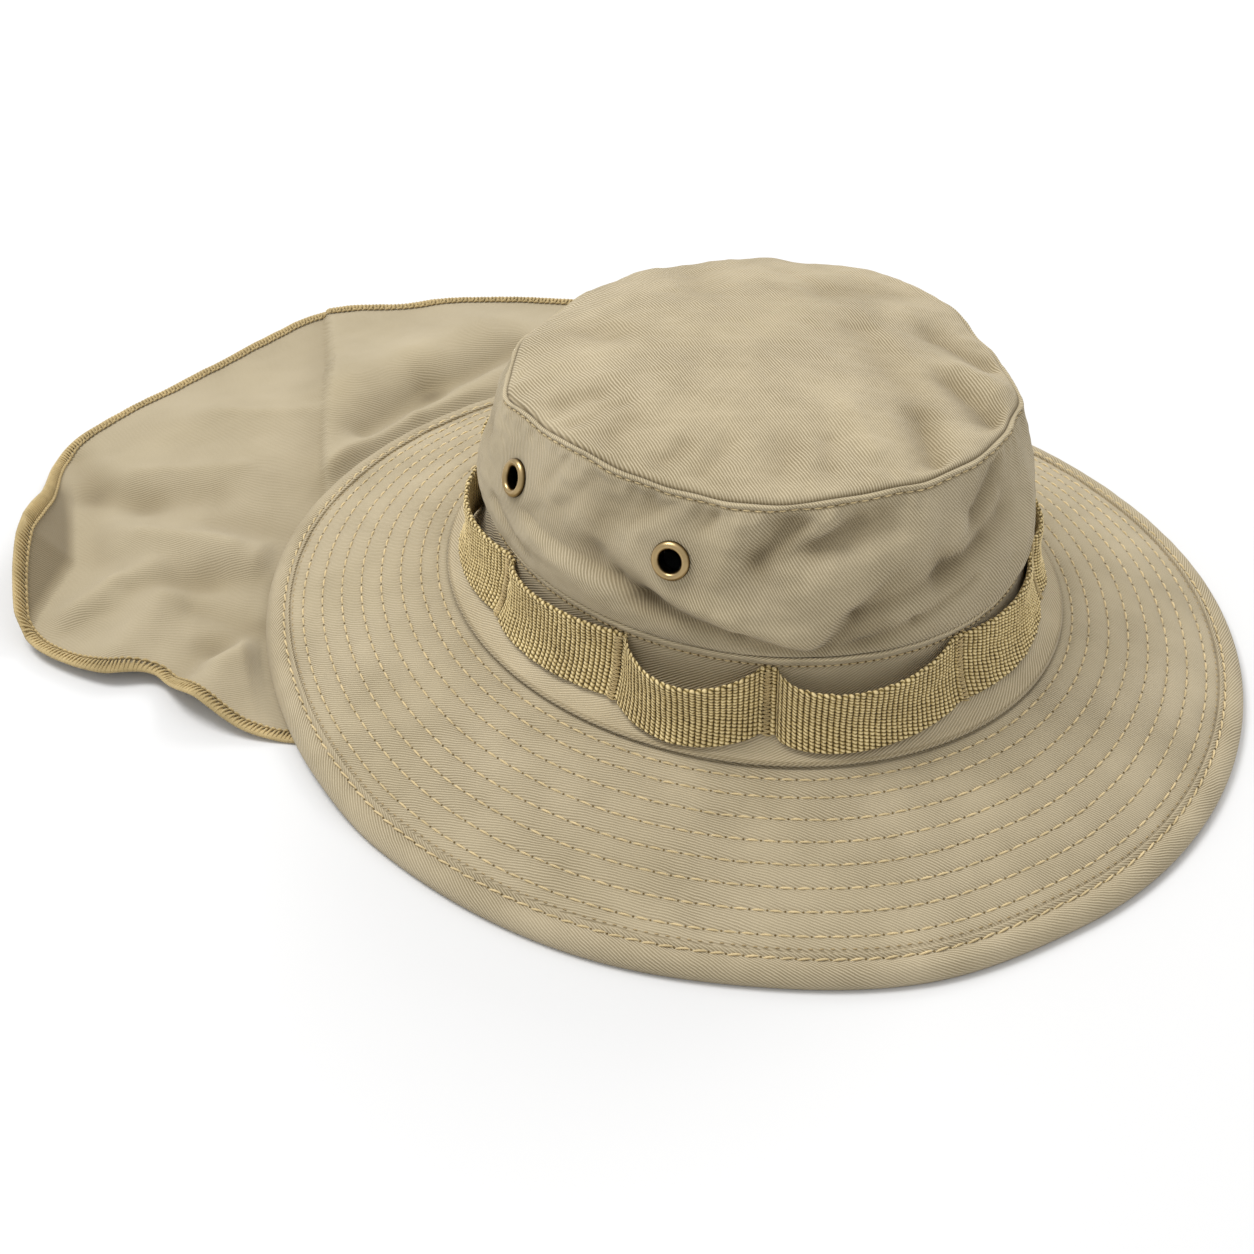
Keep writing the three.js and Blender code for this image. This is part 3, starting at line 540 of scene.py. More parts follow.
def waves(x, y, size, seed, count=7):
    """Smooth unevenness between about -1 and 1 with waves of about the given length."""
    dice = np.random.default_rng(seed)
    total = 0
    for _ in range(count):
        heading = dice.uniform(0, 2 * math.pi)
        run = 2 * math.pi / (size * dice.uniform(0.7, 1.5))
        shift = dice.uniform(0, 2 * math.pi)
        total = total + np.sin(run * (x * math.cos(heading) + y * math.sin(heading)) + shift)
    return total / math.sqrt(count * 2)


def wrinkles(rows, x, y):
    """Adds up waves, given as rows of height, length and seed."""
    return sum(height * waves(x, y, length, seed) for height, length, seed in rows)


def bell(distance, width):
    """A round bump of height 1."""
    return np.exp(-((distance / width) ** 2))


def lines(rows, distance):
    """Adds up narrow ridges and grooves, given as rows of place, width and height."""
    return sum(height * bell(distance - place, width) for place, width, height in rows)


def smooth_line(points, steps):
    """A smooth line through points, with the same number of steps from each to the next."""
    points = np.asarray(points, float)
    first = 2 * points[0] - points[1]
    last = 2 * points[-1] - points[-2]
    full = np.vstack([first, points, last])
    share = np.linspace(0, 1, steps, endpoint=False)[:, None]
    parts = []
    for index in range(1, len(full) - 2):
        a, b, c, d = full[index - 1 : index + 3]
        bend = (2 * a - 5 * b + 4 * c - d) * share**2 + (3 * b - 3 * c + d - a) * share**3
        parts.append(b + 0.5 * ((c - a) * share + bend))
    return np.vstack(parts + [points[-1:]])


def read_rows(place, steps, rows):
    """Reads rows of values between the steps at which they stand."""
    return np.stack([np.interp(place, steps, column) for column in rows.T], axis=-1)


def read_line(line, share):
    """Points at shares of a line that has even steps."""
    return read_rows(np.asarray(share) * (len(line) - 1), np.arange(len(line)), line)


def run_of(line):
    """Distance along a line of points from its start."""
    return np.append(0, np.cumsum(np.linalg.norm(np.diff(line, axis=0), axis=1)))


def even_angles(count):
    return np.arange(count) * 360 / count


def outward(surface, angle, share):
    """The outward direction of a surface given by angle and share."""
    place = np.clip(share, 0.02, 0.98)
    around = surface(angle + 0.2, place) - surface(angle - 0.2, place)
    up = surface(angle, place + 0.02) - surface(angle, place - 0.02)
    return unit(np.cross(around, up))


# Meshes


def new_piece(name, points, quads, weave, tone=None):
    """An object from points in millimetres, four-cornered faces and a place in the weave."""
    used = np.unique(quads)
    place = np.zeros(len(points), int)
    place[used] = np.arange(len(used))
    quads = place[quads]
    placed = (points[used] + HAT_AXIS) / 1000
    mesh = bpy.data.meshes.new(name)
    mesh.vertices.add(len(placed))
    mesh.vertices.foreach_set("co", placed.astype(np.float32).ravel())
    mesh.loops.add(quads.size)
    mesh.loops.foreach_set("vertex_index", quads.astype(np.int32).ravel())
    mesh.polygons.add(len(quads))
    mesh.polygons.foreach_set("loop_start", np.arange(0, quads.size, 4, dtype=np.int32))
    mesh.update(calc_edges=True)
    mesh.shade_smooth()
    layer = mesh.uv_layers.new(name="weave")
    layer.data.foreach_set("uv", weave.astype(np.float32).ravel())
    # The tone attribute holds painted shade and highlight for the cloth, and rubbed wear for the brass.
    if tone is None:
        tone = np.zeros(len(points))
    depth = mesh.attributes.new("tone", "FLOAT", "POINT")
    depth.data.foreach_set("value", tone[used].astype(np.float32).ravel())
    piece = bpy.data.objects.new(name, mesh)
    bpy.context.scene.collection.objects.link(piece)
    return piece


def dress(piece, slot, material, *nodes):
    piece.data.materials.append(material)
    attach(piece, "root")
    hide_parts(*nodes)
    return piece


def face_corners(i, j):
    return [(i, j), (i + 1, j), (i + 1, j + 1), (i, j + 1)]


def grid_piece(name, points, weave, round_shut=True, across_shut=True, tone=None, keep=None, ends=False):
    """A mesh from a grid of points: the first axis runs round the hat, the second across.
    Ends close a sheet of two faces whose rows mirror each other."""
    columns, rows = points.shape[:2]
    around = columns if round_shut else columns - 1
    across = rows if across_shut else rows - 1
    i, j = np.meshgrid(np.arange(around), np.arange(across), indexing="ij")
    corners = face_corners(i, j)
    quads = np.stack([(a % columns) * rows + b % rows for a, b in corners], axis=-1).reshape(-1, 4)
    place = np.stack([weave[a, b] for a, b in corners], axis=-2).reshape(-1, 4, 2)
    if ends:
        down = np.arange(rows // 2 - 1)
        low, next_low, next_high, high = down, down + 1, rows - 2 - down, rows - 1 - down
        first = np.stack([low, next_low, next_high, high], axis=-1)
        last = np.stack([next_low, low, high, next_high], axis=-1)
        quads = np.concatenate([quads, first, last + (columns - 1) * rows])
        place = np.concatenate([place, weave[0][first], weave[columns - 1][last]])
    if keep is not None:
        kept = keep.ravel()[quads].any(axis=1)
        quads = quads[kept]
        place = place[kept]
    flat_tone = None if tone is None else np.broadcast_to(tone, (columns, rows)).ravel()
    return new_piece(name, points.reshape(-1, 3), quads, place.reshape(-1, 2), flat_tone)


def outer_painted_shading(points, shade, roll=()):
    """The painted shade and highlight of a piece's outer rows and of the rolled rows after them, and none
    on the rest.
    """
    tone = np.zeros(points.shape[:2])
    count = shade.shape[1]
    tone[:, :count] = shade
    tone[:, count : count + len(roll)] = roll
    return tone


def shut(points, round_shut=True, across_shut=True):
    if round_shut:
        points = np.concatenate([points, points[:1]], axis=0)
    if across_shut:
        points = np.concatenate([points, points[:, :1]], axis=1)
    return points


def strip_weave(points, middle, round_shut=True, across_shut=True):
    """Distances along and across a strip of cloth, measured along its row called middle."""
    whole = shut(points, round_shut, across_shut)
    along = run_of(whole[:, middle])
    across = np.append(0, np.cumsum(np.linalg.norm(np.diff(whole, axis=1), axis=2).mean(axis=0)))
    across = across - across[middle]
    return np.stack(np.meshgrid(along, across, indexing="ij"), axis=-1)


def plane_weave(points, round_shut=True, across_shut=True):
    """Places in a flat cut of cloth, as seen from above."""
    return shut(points, round_shut, across_shut)[..., :2]


def circle_round(turn, across, up):
    """Points of a circle of radius 1, for each pair of directions."""
    return np.cos(turn)[:, None] * across[..., None, :] + np.sin(turn)[:, None] * up[..., None, :]


def thread_piece(name, starts, ends, normals, radius, arch, sink=0.2, steps=5, sides=5):
    """Many short threads in one mesh, each arched over the cloth and let in at its ends."""
    share = np.linspace(0, 1, steps)
    lift = (arch + sink) * np.sin(np.pi * share) ** 0.7 - sink
    run = ends - starts
    line = starts[:, None] + run[:, None] * share[None, :, None]
    line = line + normals[:, None] * lift[None, :, None]
    along = unit(run)
    across = unit(np.cross(along, normals))
    up = np.cross(across, along)
    turn = np.arange(sides + 1) * 2 * math.pi / sides
    circle = circle_round(turn, across, up)
    spread = radius * np.sin(np.pi * (0.07 + 0.86 * share)) ** 0.45
    points = line[:, :, None] + spread[None, :, None, None] * circle[:, None]
    count = len(starts)
    layer = steps * sides
    k, i, j = np.meshgrid(np.arange(count), np.arange(steps - 1), np.arange(sides), indexing="ij")
    corners = face_corners(i, j)
    quads = np.stack([k * layer + a * sides + b % sides for a, b in corners], axis=-1)
    length = np.linalg.norm(run, axis=1)
    along_mm = length[:, None, None] * share[None, :, None] + 3.7 * np.arange(count)[:, None, None]
    round_mm = radius * turn[None, None, :]
    weave = np.stack(np.broadcast_arrays(along_mm, round_mm), axis=-1)
    place = np.stack([weave[k, a, b] for a, b in corners], axis=-2)
    flat = points[:, :, :sides].reshape(-1, 3)
    return new_piece(name, flat, quads.reshape(-1, 4), place.reshape(-1, 2))


def stitch_places(line, normals, pitch, length, shift=0.0, closed=True):
    """Starts, ends and normals of a row of stitches along a line."""
    if closed:
        line = np.vstack([line, line[:1]])
        normals = np.vstack([normals, normals[:1]])
    run = run_of(line)
    count = int(round(run[-1] / pitch))
    step = run[-1] / count
    begin = (np.arange(count) + shift) * step
    gap = step * (1 - length / pitch) / 2

    def at(values, distance):
        place = np.mod(distance, run[-1]) if closed else np.clip(distance, 0, run[-1])
        return read_rows(place, run, values)

    starts = at(line, begin + gap)
    ends = at(line, begin + step - gap)
    return starts, ends, unit(at(normals, begin + step / 2)), at(line, begin), at(normals, begin)


def hole_piece(name, centres, normals, radius, rise):
    """Many small round needle holes, each a shallow pit seen from outside, which its material colours dark
    with painted shade.
    """
    sides = 8
    turn = np.radians(even_angles(sides))
    normals = unit(normals)
    across = unit(np.cross(normals, np.array([0.3, 0.2, 0.93])))
    up = np.cross(normals, across)
    circle = circle_round(turn, across, up)
    rings = [(1.0, rise), (0.45, rise * 0.6)]
    points = [centres[:, None] + size * radius * circle + high * normals[:, None] for size, high in rings]
    points = np.concatenate(points, axis=1)
    count = len(centres)
    k, j = np.meshgrid(np.arange(count), np.arange(sides), indexing="ij")
    base = k * 2 * sides
    after = (j + 1) % sides
    rim = np.stack([base + j, base + after, base + sides + after, base + sides + j], axis=-1)
    k, j = np.meshgrid(np.arange(count), np.array([0, 2, 4]), indexing="ij")
    base = k * 2 * sides + sides
    middle = np.stack([base, base + j + 1, base + j + 2, base + (j + 3) % sides], axis=-1)
    quads = np.concatenate([rim.reshape(-1, 4), middle.reshape(-1, 4)])
    return new_piece(name, points.reshape(-1, 3), quads, np.zeros((quads.size, 2)))


# Materials


class Look:
    """A material of the node kind, with short calls for the nodes that it needs."""

    def __init__(self, name):
        self.material = bpy.data.materials.new(name)
        self.material.use_nodes = True
        self.tree = self.material.node_tree
        self.shader = self.tree.nodes["Principled BSDF"]

    def node(self, kind, **settings):
        made = self.tree.nodes.new(kind)
        for key, value in settings.items():
            setattr(made, key, value)
        return made

    def join(self, source, target):
        self.tree.links.new(source, target)

    def math(self, operation, *values):
        made = self.node("ShaderNodeMath", operation=operation)
        for socket, value in zip(made.inputs, values):
            if isinstance(value, (int, float)):
                socket.default_value = value
            else:
                self.join(value, socket)
        return made.outputs[0]

    def weave(self):
        place = self.node("ShaderNodeUVMap", uv_map="weave")
        split = self.node("ShaderNodeSeparateXYZ")
        self.join(place.outputs[0], split.inputs[0])
        return place.outputs[0], split.outputs[0], split.outputs[1]

    def noise(self, place, scale, detail=2.0):
        made = self.node("ShaderNodeTexNoise")
        self.join(place, made.inputs["Vector"])
        made.inputs["Scale"].default_value = scale
        made.inputs["Detail"].default_value = detail
        return made.outputs["Fac"]

    def object_place(self):
        return self.node("ShaderNodeTexCoord").outputs["Object"]

    # The tone attribute: painted shade and highlight on the cloth, rubbed wear on the brass.
    def tone(self):
        return self.node("ShaderNodeAttribute", attribute_name="tone").outputs["Fac"]

    def ramp(self, factor, stops):
        made = self.node("ShaderNodeValToRGB")
        ramp = made.color_ramp
        while len(ramp.elements) < len(stops):
            ramp.elements.new(0.5)
        for element, (position, colour) in zip(ramp.elements, stops):
            element.position = position
            element.color = (*colour, 1)
        self.join(factor, made.inputs[0])
        return made.outputs[0]

    def patches(self, factor, low, high):
        """Grey or colour that changes from low to high over the middle of a factor."""
        return self.ramp(factor, [(0.3, low), (0.7, high)])

    def blend(self, factor, first, second, kind="MIX"):
        made = self.node("ShaderNodeMix", data_type="RGBA", blend_type=kind)
        for socket, value in ((made.inputs[0], factor), (made.inputs[6], first), (made.inputs[7], second)):
            if isinstance(value, tuple):
                socket.default_value = (*value, 1)
            elif isinstance(value, (int, float)):
                socket.default_value = value
            else:
                self.join(value, socket)
        return made.outputs[2]

    def tint(self, colour, shade, factor=1.0):
        return self.blend(factor, colour, shade, "MULTIPLY")

    def bump(self, height, distance, strength=1.0):
        made = self.node("ShaderNodeBump")
        made.inputs["Strength"].default_value = strength
        made.inputs["Distance"].default_value = distance
        self.join(height, made.inputs["Height"])
        self.join(made.outputs[0], self.shader.inputs["Normal"])

    def finish(self, colour, roughness, sheen=0.0, specular=0.5):
        self.join(colour, self.shader.inputs["Base Color"])
        self.shader.inputs["Roughness"].default_value = roughness
        self.shader.inputs["Sheen Weight"].default_value = sheen
        self.shader.inputs["Sheen Roughness"].default_value = 0.5
        self.shader.inputs["Specular IOR Level"].default_value = specular
        return self.material


CLOTH_LIGHT = (0.545, 0.462, 0.315)
CLOTH_DARK = (0.27, 0.215, 0.125)
# Colour factors for the tone attribute: painted shade in valleys and creases, painted highlight on ridges.
PAINTED_SHADING_STOPS = [
    (0.0, (0.42, 0.39, 0.34)),
    (0.3, (0.8, 0.78, 0.74)),
    (0.5, (1, 1, 1)),
    (1.0, (1.14, 1.14, 1.12)),
]
STRAP_COLOUR_AND_GAP_SHADE_STOPS = [
    (0.12, (0.06, 0.038, 0.01)),
    (0.45, (0.4, 0.29, 0.105)),
    (0.8, (0.85, 0.69, 0.375)),
]
BRASS_STOPS = [
    (0.0, (0.04, 0.025, 0.009)),
    (0.5, (0.2, 0.135, 0.055)),
    (1.0, (0.44, 0.32, 0.16)),
]


def twill(name, heading, pitch, strength=1.0, painted_brightness=1.0):
    """Cotton twill: fine slanting wales that run square to the heading, with worn patches, painted shade
    in valleys and painted highlight on ridges, and painted_brightness, which paints the whole panel
    lighter or darker to stand for the light on it.
    """
    look = Look(name)
    place, along, across = look.weave()
    turn = math.radians(heading)
    ahead = look.math("MULTIPLY", along, math.cos(turn) * 2 * math.pi / pitch)
    aside = look.math("MULTIPLY", across, math.sin(turn) * 2 * math.pi / pitch)
    drift = look.math("MULTIPLY", look.noise(place, 0.09, 1.0), 9.0)
    jitter = look.math("MULTIPLY", look.noise(place, 0.7, 1.0), 1.6)
    phase = look.math("ADD", look.math("ADD", ahead, aside), look.math("ADD", drift, jitter))
    wale = look.math("MULTIPLY_ADD", look.math("SINE", phase), 0.5, 0.5)
    patch = look.noise(place, 0.035, 2.0)
    depth = look.math("MULTIPLY", look.math("ADD", patch, 0.2), strength)
    groove = look.math("MULTIPLY", look.math("SUBTRACT", 1.0, wale), depth)
    light = tuple(value * painted_brightness for value in CLOTH_LIGHT)
    dark = tuple(value * painted_brightness for value in CLOTH_DARK)
    base = look.blend(groove, light, dark)
    grain = look.noise(place, 2.2, 3.0)
    grained = look.tint(base, look.patches(grain, (0.8, 0.8, 0.8), (1, 1, 1)), 0.35)
    cloud = look.noise(place, 0.02, 3.0)
    clouds = look.ramp(cloud, [(0.35, (0.93, 0.925, 0.9)), (0.65, (1.0, 1.0, 1.0))])
    worn = look.tint(grained, clouds)
    # Painted shade and highlight from the tone attribute.
    painted_shading = look.ramp(look.math("ADD", look.tone(), 0.5), PAINTED_SHADING_STOPS)
    colour = look.tint(worn, painted_shading)
    height = look.math("ADD", look.math("MULTIPLY", wale, depth), look.math("MULTIPLY", grain, 0.35))
    look.bump(height, 0.0003, 0.8)
    return look.finish(colour, 0.92, sheen=0.12, specular=0.12)


def strap_look():
    """Coarse webbing: upright ribs of small light beads, with painted shade darkening the gaps between
    them.
    """
    look = Look("webbing_weave")
    place, along, across = look.weave()
    rib = look.math("FLOOR", along)
    half = look.math("MULTIPLY", look.math("MODULO", rib, 2.0), 0.5)
    slant = look.math("MULTIPLY", look.math("FRACT", along), 0.5)
    bead_u = look.math("FRACT", along)
    bead_v = look.math("FRACT", look.math("ADD", look.math("ADD", across, half), slant))
    hill_u = look.math("POWER", look.math("SINE", look.math("MULTIPLY", bead_u, math.pi)), 0.7)
    hill_v = look.math("MULTIPLY_ADD", look.math("SINE", look.math("MULTIPLY", bead_v, math.pi)), 0.8, 0.2)
    hill = look.math("MULTIPLY", hill_u, hill_v)
    stray = look.math("MULTIPLY", look.math("SUBTRACT", look.noise(place, 1.3, 2.0), 0.5), 0.85)
    level = look.math("ADD", hill, stray)
    # The ramp gives the webbing its colour and also painted shade: near black in the gaps between beads.
    colour = look.ramp(level, STRAP_COLOUR_AND_GAP_SHADE_STOPS)
    patch = look.patches(look.noise(place, 0.12, 2.0), (0.82, 0.8, 0.76), (1.05, 1.05, 1.03))
    tinted = look.tint(colour, patch)
    look.bump(level, 0.0005, 0.8)
    return look.finish(tinted, 0.85, sheen=0.1, specular=0.2)


def thread_look(name, light, dark, pitch=0.5):
    """Spun thread: twisted strands that show as slanting lines."""
    look = Look(name)
    place, along, across = look.weave()
    turns = 2 * math.pi / pitch
    phase = look.math("ADD", *[look.math("MULTIPLY", run, turns) for run in (along, across)])
    strand = look.math("MULTIPLY_ADD", look.math("SINE", phase), 0.5, 0.5)
    patch = look.noise(look.object_place(), 90.0, 2.0)
    worn = look.patches(patch, (0.8, 0.79, 0.75), (1.08, 1.07, 1.05))
    colour = look.tint(look.ramp(strand, [(0.0, dark), (0.8, light)]), worn)
    look.bump(strand, 0.0001, 0.6)
    return look.finish(colour, 0.75, sheen=0.1, specular=0.3)


def painted_hole_shade_look():
    look = Look("needle_hole_painted_shade")
    speck = look.noise(look.object_place(), 400.0, 1.0)
    # The dark colour is painted shade of the needle holes.
    colour = look.patches(speck, (0.1, 0.066, 0.024), (0.2, 0.14, 0.062))
    return look.finish(colour, 1.0, specular=0.0)


def brass_look():
    """Antique brass: brown and dull in patches, rubbed bright on the high ring."""
    look = Look("antique_brass")
    place = look.object_place()
    patch = look.noise(place, 260.0, 4.0)
    rubbed = look.math("ADD", look.tone(), look.math("MULTIPLY", look.math("SUBTRACT", patch, 0.5), 0.5))
    colour = look.ramp(rubbed, BRASS_STOPS)
    look.bump(look.noise(place, 700.0, 3.0), 0.00004, 0.5)
    look.shader.inputs["Metallic"].default_value = 1.0
    rough = look.math("MULTIPLY_ADD", patch, 0.25, 0.2)
    look.join(rough, look.shader.inputs["Roughness"])
    look.join(colour, look.shader.inputs["Base Color"])
    return look.material


# Brim


def rim_raise(angle):
    turn = np.mod(angle, 360)
    left = ease(RAISE_LEFT - RAISE_RAMP, RAISE_LEFT, turn)
    right = 1 - ease(RAISE_RIGHT, RAISE_RIGHT + RAISE_RAMP, turn)
    return RIM_RAISE * left * right


def brim_top(angle, share):
    straight = lerp(GROOVE_LEVEL, RIM_LEVEL + rim_raise(angle), share)
    return straight + BRIM_BOW * 4 * share * (1 - share)


def rim_reach(angle):
    return BRIM_RUN * (1 + round_table(RIM, angle))


def brim_point(angle, share, height=0.0):
    level = brim_top(angle, np.maximum(share, 0)) + height
    return oval(angle, rim_reach(angle) * share, level)


def stitch_rows():
    return [FIRST_ROW] + [SECOND_ROW + ROW_STEP * index for index in range(ROW_COUNT - 1)]


def brim_relief(angle, share):
    """Cloth puffed up between the stitch rows, with small puckers along each row."""
    relief = 0.0
    for index, row in enumerate(stitch_rows()):
        away = (share - row) * BRIM_RUN
        pucker = 0.3 * np.sin(angle * 3.1 + index * 2.0) + 0.25 * np.sin(angle * 5.3 + index)
        relief = relief - ROW_DEPTH * (1 + 0.35 * pucker) * bell(away, ROW_WIDTH)
    plan = oval(angle, rim_reach(angle) * share, 0)
    swell = wrinkles(BRIM_WRINKLES, plan[..., 0], plan[..., 1])
    crevice = CREVICE * bell(share * BRIM_RUN, 0.8)
    crevice = crevice + 0.35 * bell((1 - share) * BRIM_RUN - EDGE_CREVICE, 0.55)
    return relief + ROW_DEPTH * 0.5 + swell * ease(0, 0.08, share) - crevice


def fine_shares(low, high, step, centres, offsets):
    """Shares from low to high at about the given step, closer together round the centres."""
    shares = list(np.linspace(low, high, int(round((high - low) / step)) + 1))
    for centre in centres:
        shares = [share for share in shares if abs(share - centre) > max(offsets) * 1.2]
        shares.extend(centre + side * offset for offset in offsets for side in (-1, 1))
        shares.append(centre)
    return np.array(sorted(share for share in set(shares) if low <= share <= high))


def make_brim(material):
    angle = even_angles(BRIM_COLUMNS)[:, None]
    offsets = [0.4 / BRIM_RUN, 0.9 / BRIM_RUN, 1.6 / BRIM_RUN]
    end = BINDING_START + 4 / BRIM_RUN
    centres = stitch_rows() + [1 - EDGE_CREVICE / BRIM_RUN, 0.0]
    over = fine_shares(-BRIM_SEAT / BRIM_RUN, end, 1.6 / BRIM_RUN, centres, offsets)[::-1]
    under = np.linspace(-BRIM_SEAT / BRIM_RUN, end, 9)
    relief = brim_relief(angle, over[None, :])
    top = brim_point(angle, over[None, :], relief)
    bottom = brim_point(angle, under[None, :], -BRIM_WALL)
    points = np.concatenate([top, bottom], axis=1)
    # Painted shade along the stitch rows and crevices, painted highlight on the cloth puffed up between
    # them.
    tone = outer_painted_shading(points, BRIM_SHADE * relief)
    piece = grid_piece("brim_cloth", points, plane_weave(points), tone=tone)
    return dress(piece, "cloth", material, "brim")


def brim_outward(angle, share):
    """The outward direction of the brim's top."""
    return outward(lambda turn, across: brim_point(turn, 1 - across), angle, 1 - share)


def stitches_of_brim():
    angle = even_angles(ROW_POINTS)
    groups = []
    for index, share in enumerate(stitch_rows()):
        line = brim_point(angle, share, brim_relief(angle, share))
        up = brim_outward(angle, share)
        groups.append(stitch_places(line, up, STITCH_PITCH, STITCH_LENGTH, shift=0.37 * index))
    return [np.concatenate(parts) for parts in zip(*groups)]


def stitches_of_edge():
    angle = even_angles(ROW_POINTS)
    share = EDGE_ROW + 0 * angle
    line = brim_point(angle, share, brim_relief(angle, share))
    return stitch_places(line, brim_outward(angle, share), EDGE_PITCH, EDGE_LENGTH)


# Binding: distance in from the rim and height over the brim's top line, from the inner edge out.
BINDING_TOP = [
    (8.75, -0.9),
    (8.7, 0.1),
    (8.45, 0.9),
    (8.0, 1.2),
    (7.55, 1.05),
    (7.15, 0.75),
    (6.7, 0.6),
    (6.15, 0.8),
    (5.3, 1.35),
    (4.2, 1.85),
    (3.0, 1.95),
    (1.8, 1.7),
    (0.8, 0.95),
    (0.15, -0.1),
    (0.1, -1.1),
]
STITCH_VALLEY = 6.7


def binding_line(angle, distance, height):
    share = 1 - distance / rim_reach(angle)
    return brim_point(angle, share, height)


def make_binding(material):
    angle = even_angles(BRIM_COLUMNS)[:, None]
    top = smooth_line(BINDING_TOP, 3)
    over = binding_line(angle, top[None, :, 0], top[None, :, 1])
    swell = wrinkles(BINDING_WRINKLES, over[..., 0], over[..., 1])
    over[..., 2] += swell * ease(0.2, 1.5, top[None, :, 0])
    foot = []
    for distance in (0.7, 1.6, 3.2, 4.6):
        point = binding_line(angle, distance, 0)
        level = rim_raise(angle) + 0.55 * ease(1.2, 0.4, distance)
        point[..., 2] = level
        foot.append(point)
    inside = [binding_line(angle, 7.5, -BRIM_WALL - 1.2), binding_line(angle, 10.0, -BRIM_WALL - 0.6)]
    points = np.concatenate([over] + foot + inside, axis=1)[:, ::-1]
    middle = points.shape[1] - len(top) // 2
    piece = grid_piece("binding_cloth", points, strip_weave(points, middle))
    return dress(piece, "cloth", material, "brim_binding")


def stitches_of_binding():
    angle = even_angles(ROW_POINTS)
    line = binding_line(angle, STITCH_VALLEY + 0 * angle, 0.66)
    normals = brim_outward(angle, 0.9 + 0 * angle)
    starts, ends, up, centres, at_holes = stitch_places(line, normals, BINDING_PITCH, BINDING_LENGTH)
    aside = unit(np.cross(ends - starts, up))
    return starts + 0.3 * aside, ends - 0.3 * aside, up, centres, at_holes


# Crown band


def band_profile():
    return smooth_line(BAND_ROWS, 12)


def band_place(rise):
    profile = band_profile()
    inset = np.interp(rise, profile[:, 1], profile[:, 0])
    return -inset * BAND_INSET, BAND_BASE + rise * BAND_HEIGHT


def band_surface(angle, rise):
    reach, level = band_place(rise)
    return oval(angle, reach, level)


def make_band(material):
    angle = even_angles(BAND_COLUMNS)[:, None]
    rises = np.array(sorted(set(band_profile()[:, 1].clip(0, 1))))[None, :]
    outer = band_surface(angle, rises)
    normal = outward(band_surface, angle, rises)
    length = rises * BAND_HEIGHT
    to_top = BAND_HEIGHT - length
    relief = lines(BAND_LINES, to_top) + wrinkles(BAND_WRINKLES, angle * 1.6, length)
    outer = outer + normal * relief[..., None]
    top = BAND_BASE + BAND_HEIGHT
    roll = [oval(angle, -BAND_INSET + out, top + up) for out, up in BAND_ROLL]
    back = rises[:, ::-6]
    inner = band_surface(angle, back) - outward(band_surface, angle, back) * BAND_WALL
    foot = [oval(angle, -0.6, BAND_BASE - 1.5), oval(angle, 0.5, BAND_BASE - 1.0)]
    points = np.concatenate([outer] + roll + [inner] + foot, axis=1)
    from_groove = np.hypot(band_place(rises)[0], length)
    # Painted highlight on the band's rolled top edge, painted shade under it at the stitch row and along
    # the groove.
    shade = lines(BAND_PAINTED_SHADING, to_top) + lines(GROOVE_PAINTED_SHADE, from_groove)
    tone = outer_painted_shading(points, shade, BAND_ROLL_PAINTED_SHADING)
    piece = grid_piece("band_cloth", points, strip_weave(points, outer.shape[1] // 2), tone=tone)
    return dress(piece, "cloth", material, "crown_band")


# Crown side


def eyelet_calm(angle, level):
    """The cloth lies smooth round each eyelet."""
    calm = 1.0
    for _, middle in EYELETS:
        across = turn_between(middle, angle) * DEGREE_RUN
        away = np.hypot(across, (level - EYELET_LEVEL) * SIDE_HEIGHT)
        calm = calm * ease(EYELET_OUTER / 2, EYELET_CALM, away)
    return calm


def side_creases():
    """The side panel's folds and creases, in millimetres round and up the panel."""
    for fold in SIDE_FOLDS + [fold._replace(depth=CREASE_GAIN * fold.depth) for fold in SIDE_CREASES]:
        start = (fold.start_angle * DEGREE_RUN, fold.start_level * SIDE_HEIGHT)
        end = (fold.end_angle * DEGREE_RUN, fold.end_level * SIDE_HEIGHT)
        yield Crease(*start, *end, fold.width * SIDE_HEIGHT, fold.depth, fold.sharp)


def side_fold(angle, level):
    depth = 0.0
    for fold in side_creases():
        middle = (fold.start_x + fold.end_x) / 2
        run = middle + turn_between(middle / DEGREE_RUN, angle) * DEGREE_RUN
        depth = depth + crease(run, level * SIDE_HEIGHT, fold)
    edges = ease(0, FOLD_FADE, level) * (1 - ease(1 - FOLD_FADE, 1, level))
    return FOLD_DEPTH * depth * edges * eyelet_calm(angle, level)


def seam_wave(angle, seed):
    """Small unevenness of the seam all the way round."""
    turn = np.radians(angle)
    return waves(90 * np.cos(turn), 90 * np.sin(turn), 26, seed)


def seam_reach(angle):
    return -SEAM_INSET * (1 - round_table(SEAM, angle, 1)) + 0.5 * seam_wave(angle, 45)


def seam_level(angle):
    return SIDE_BASE + SIDE_HEIGHT * (1 + round_table(SEAM, angle, 2)) + 0.45 * seam_wave(angle, 46)


def side_surface(angle, level):
    bulge = SIDE_BULGE * np.sin(np.pi * np.maximum(level, 0) ** BULGE_SKEW)
    reach = lerp(-BAND_INSET, seam_reach(angle), level) + bulge
    return oval(angle, reach + side_fold(angle, level), lerp(SIDE_BASE, seam_level(angle), level))


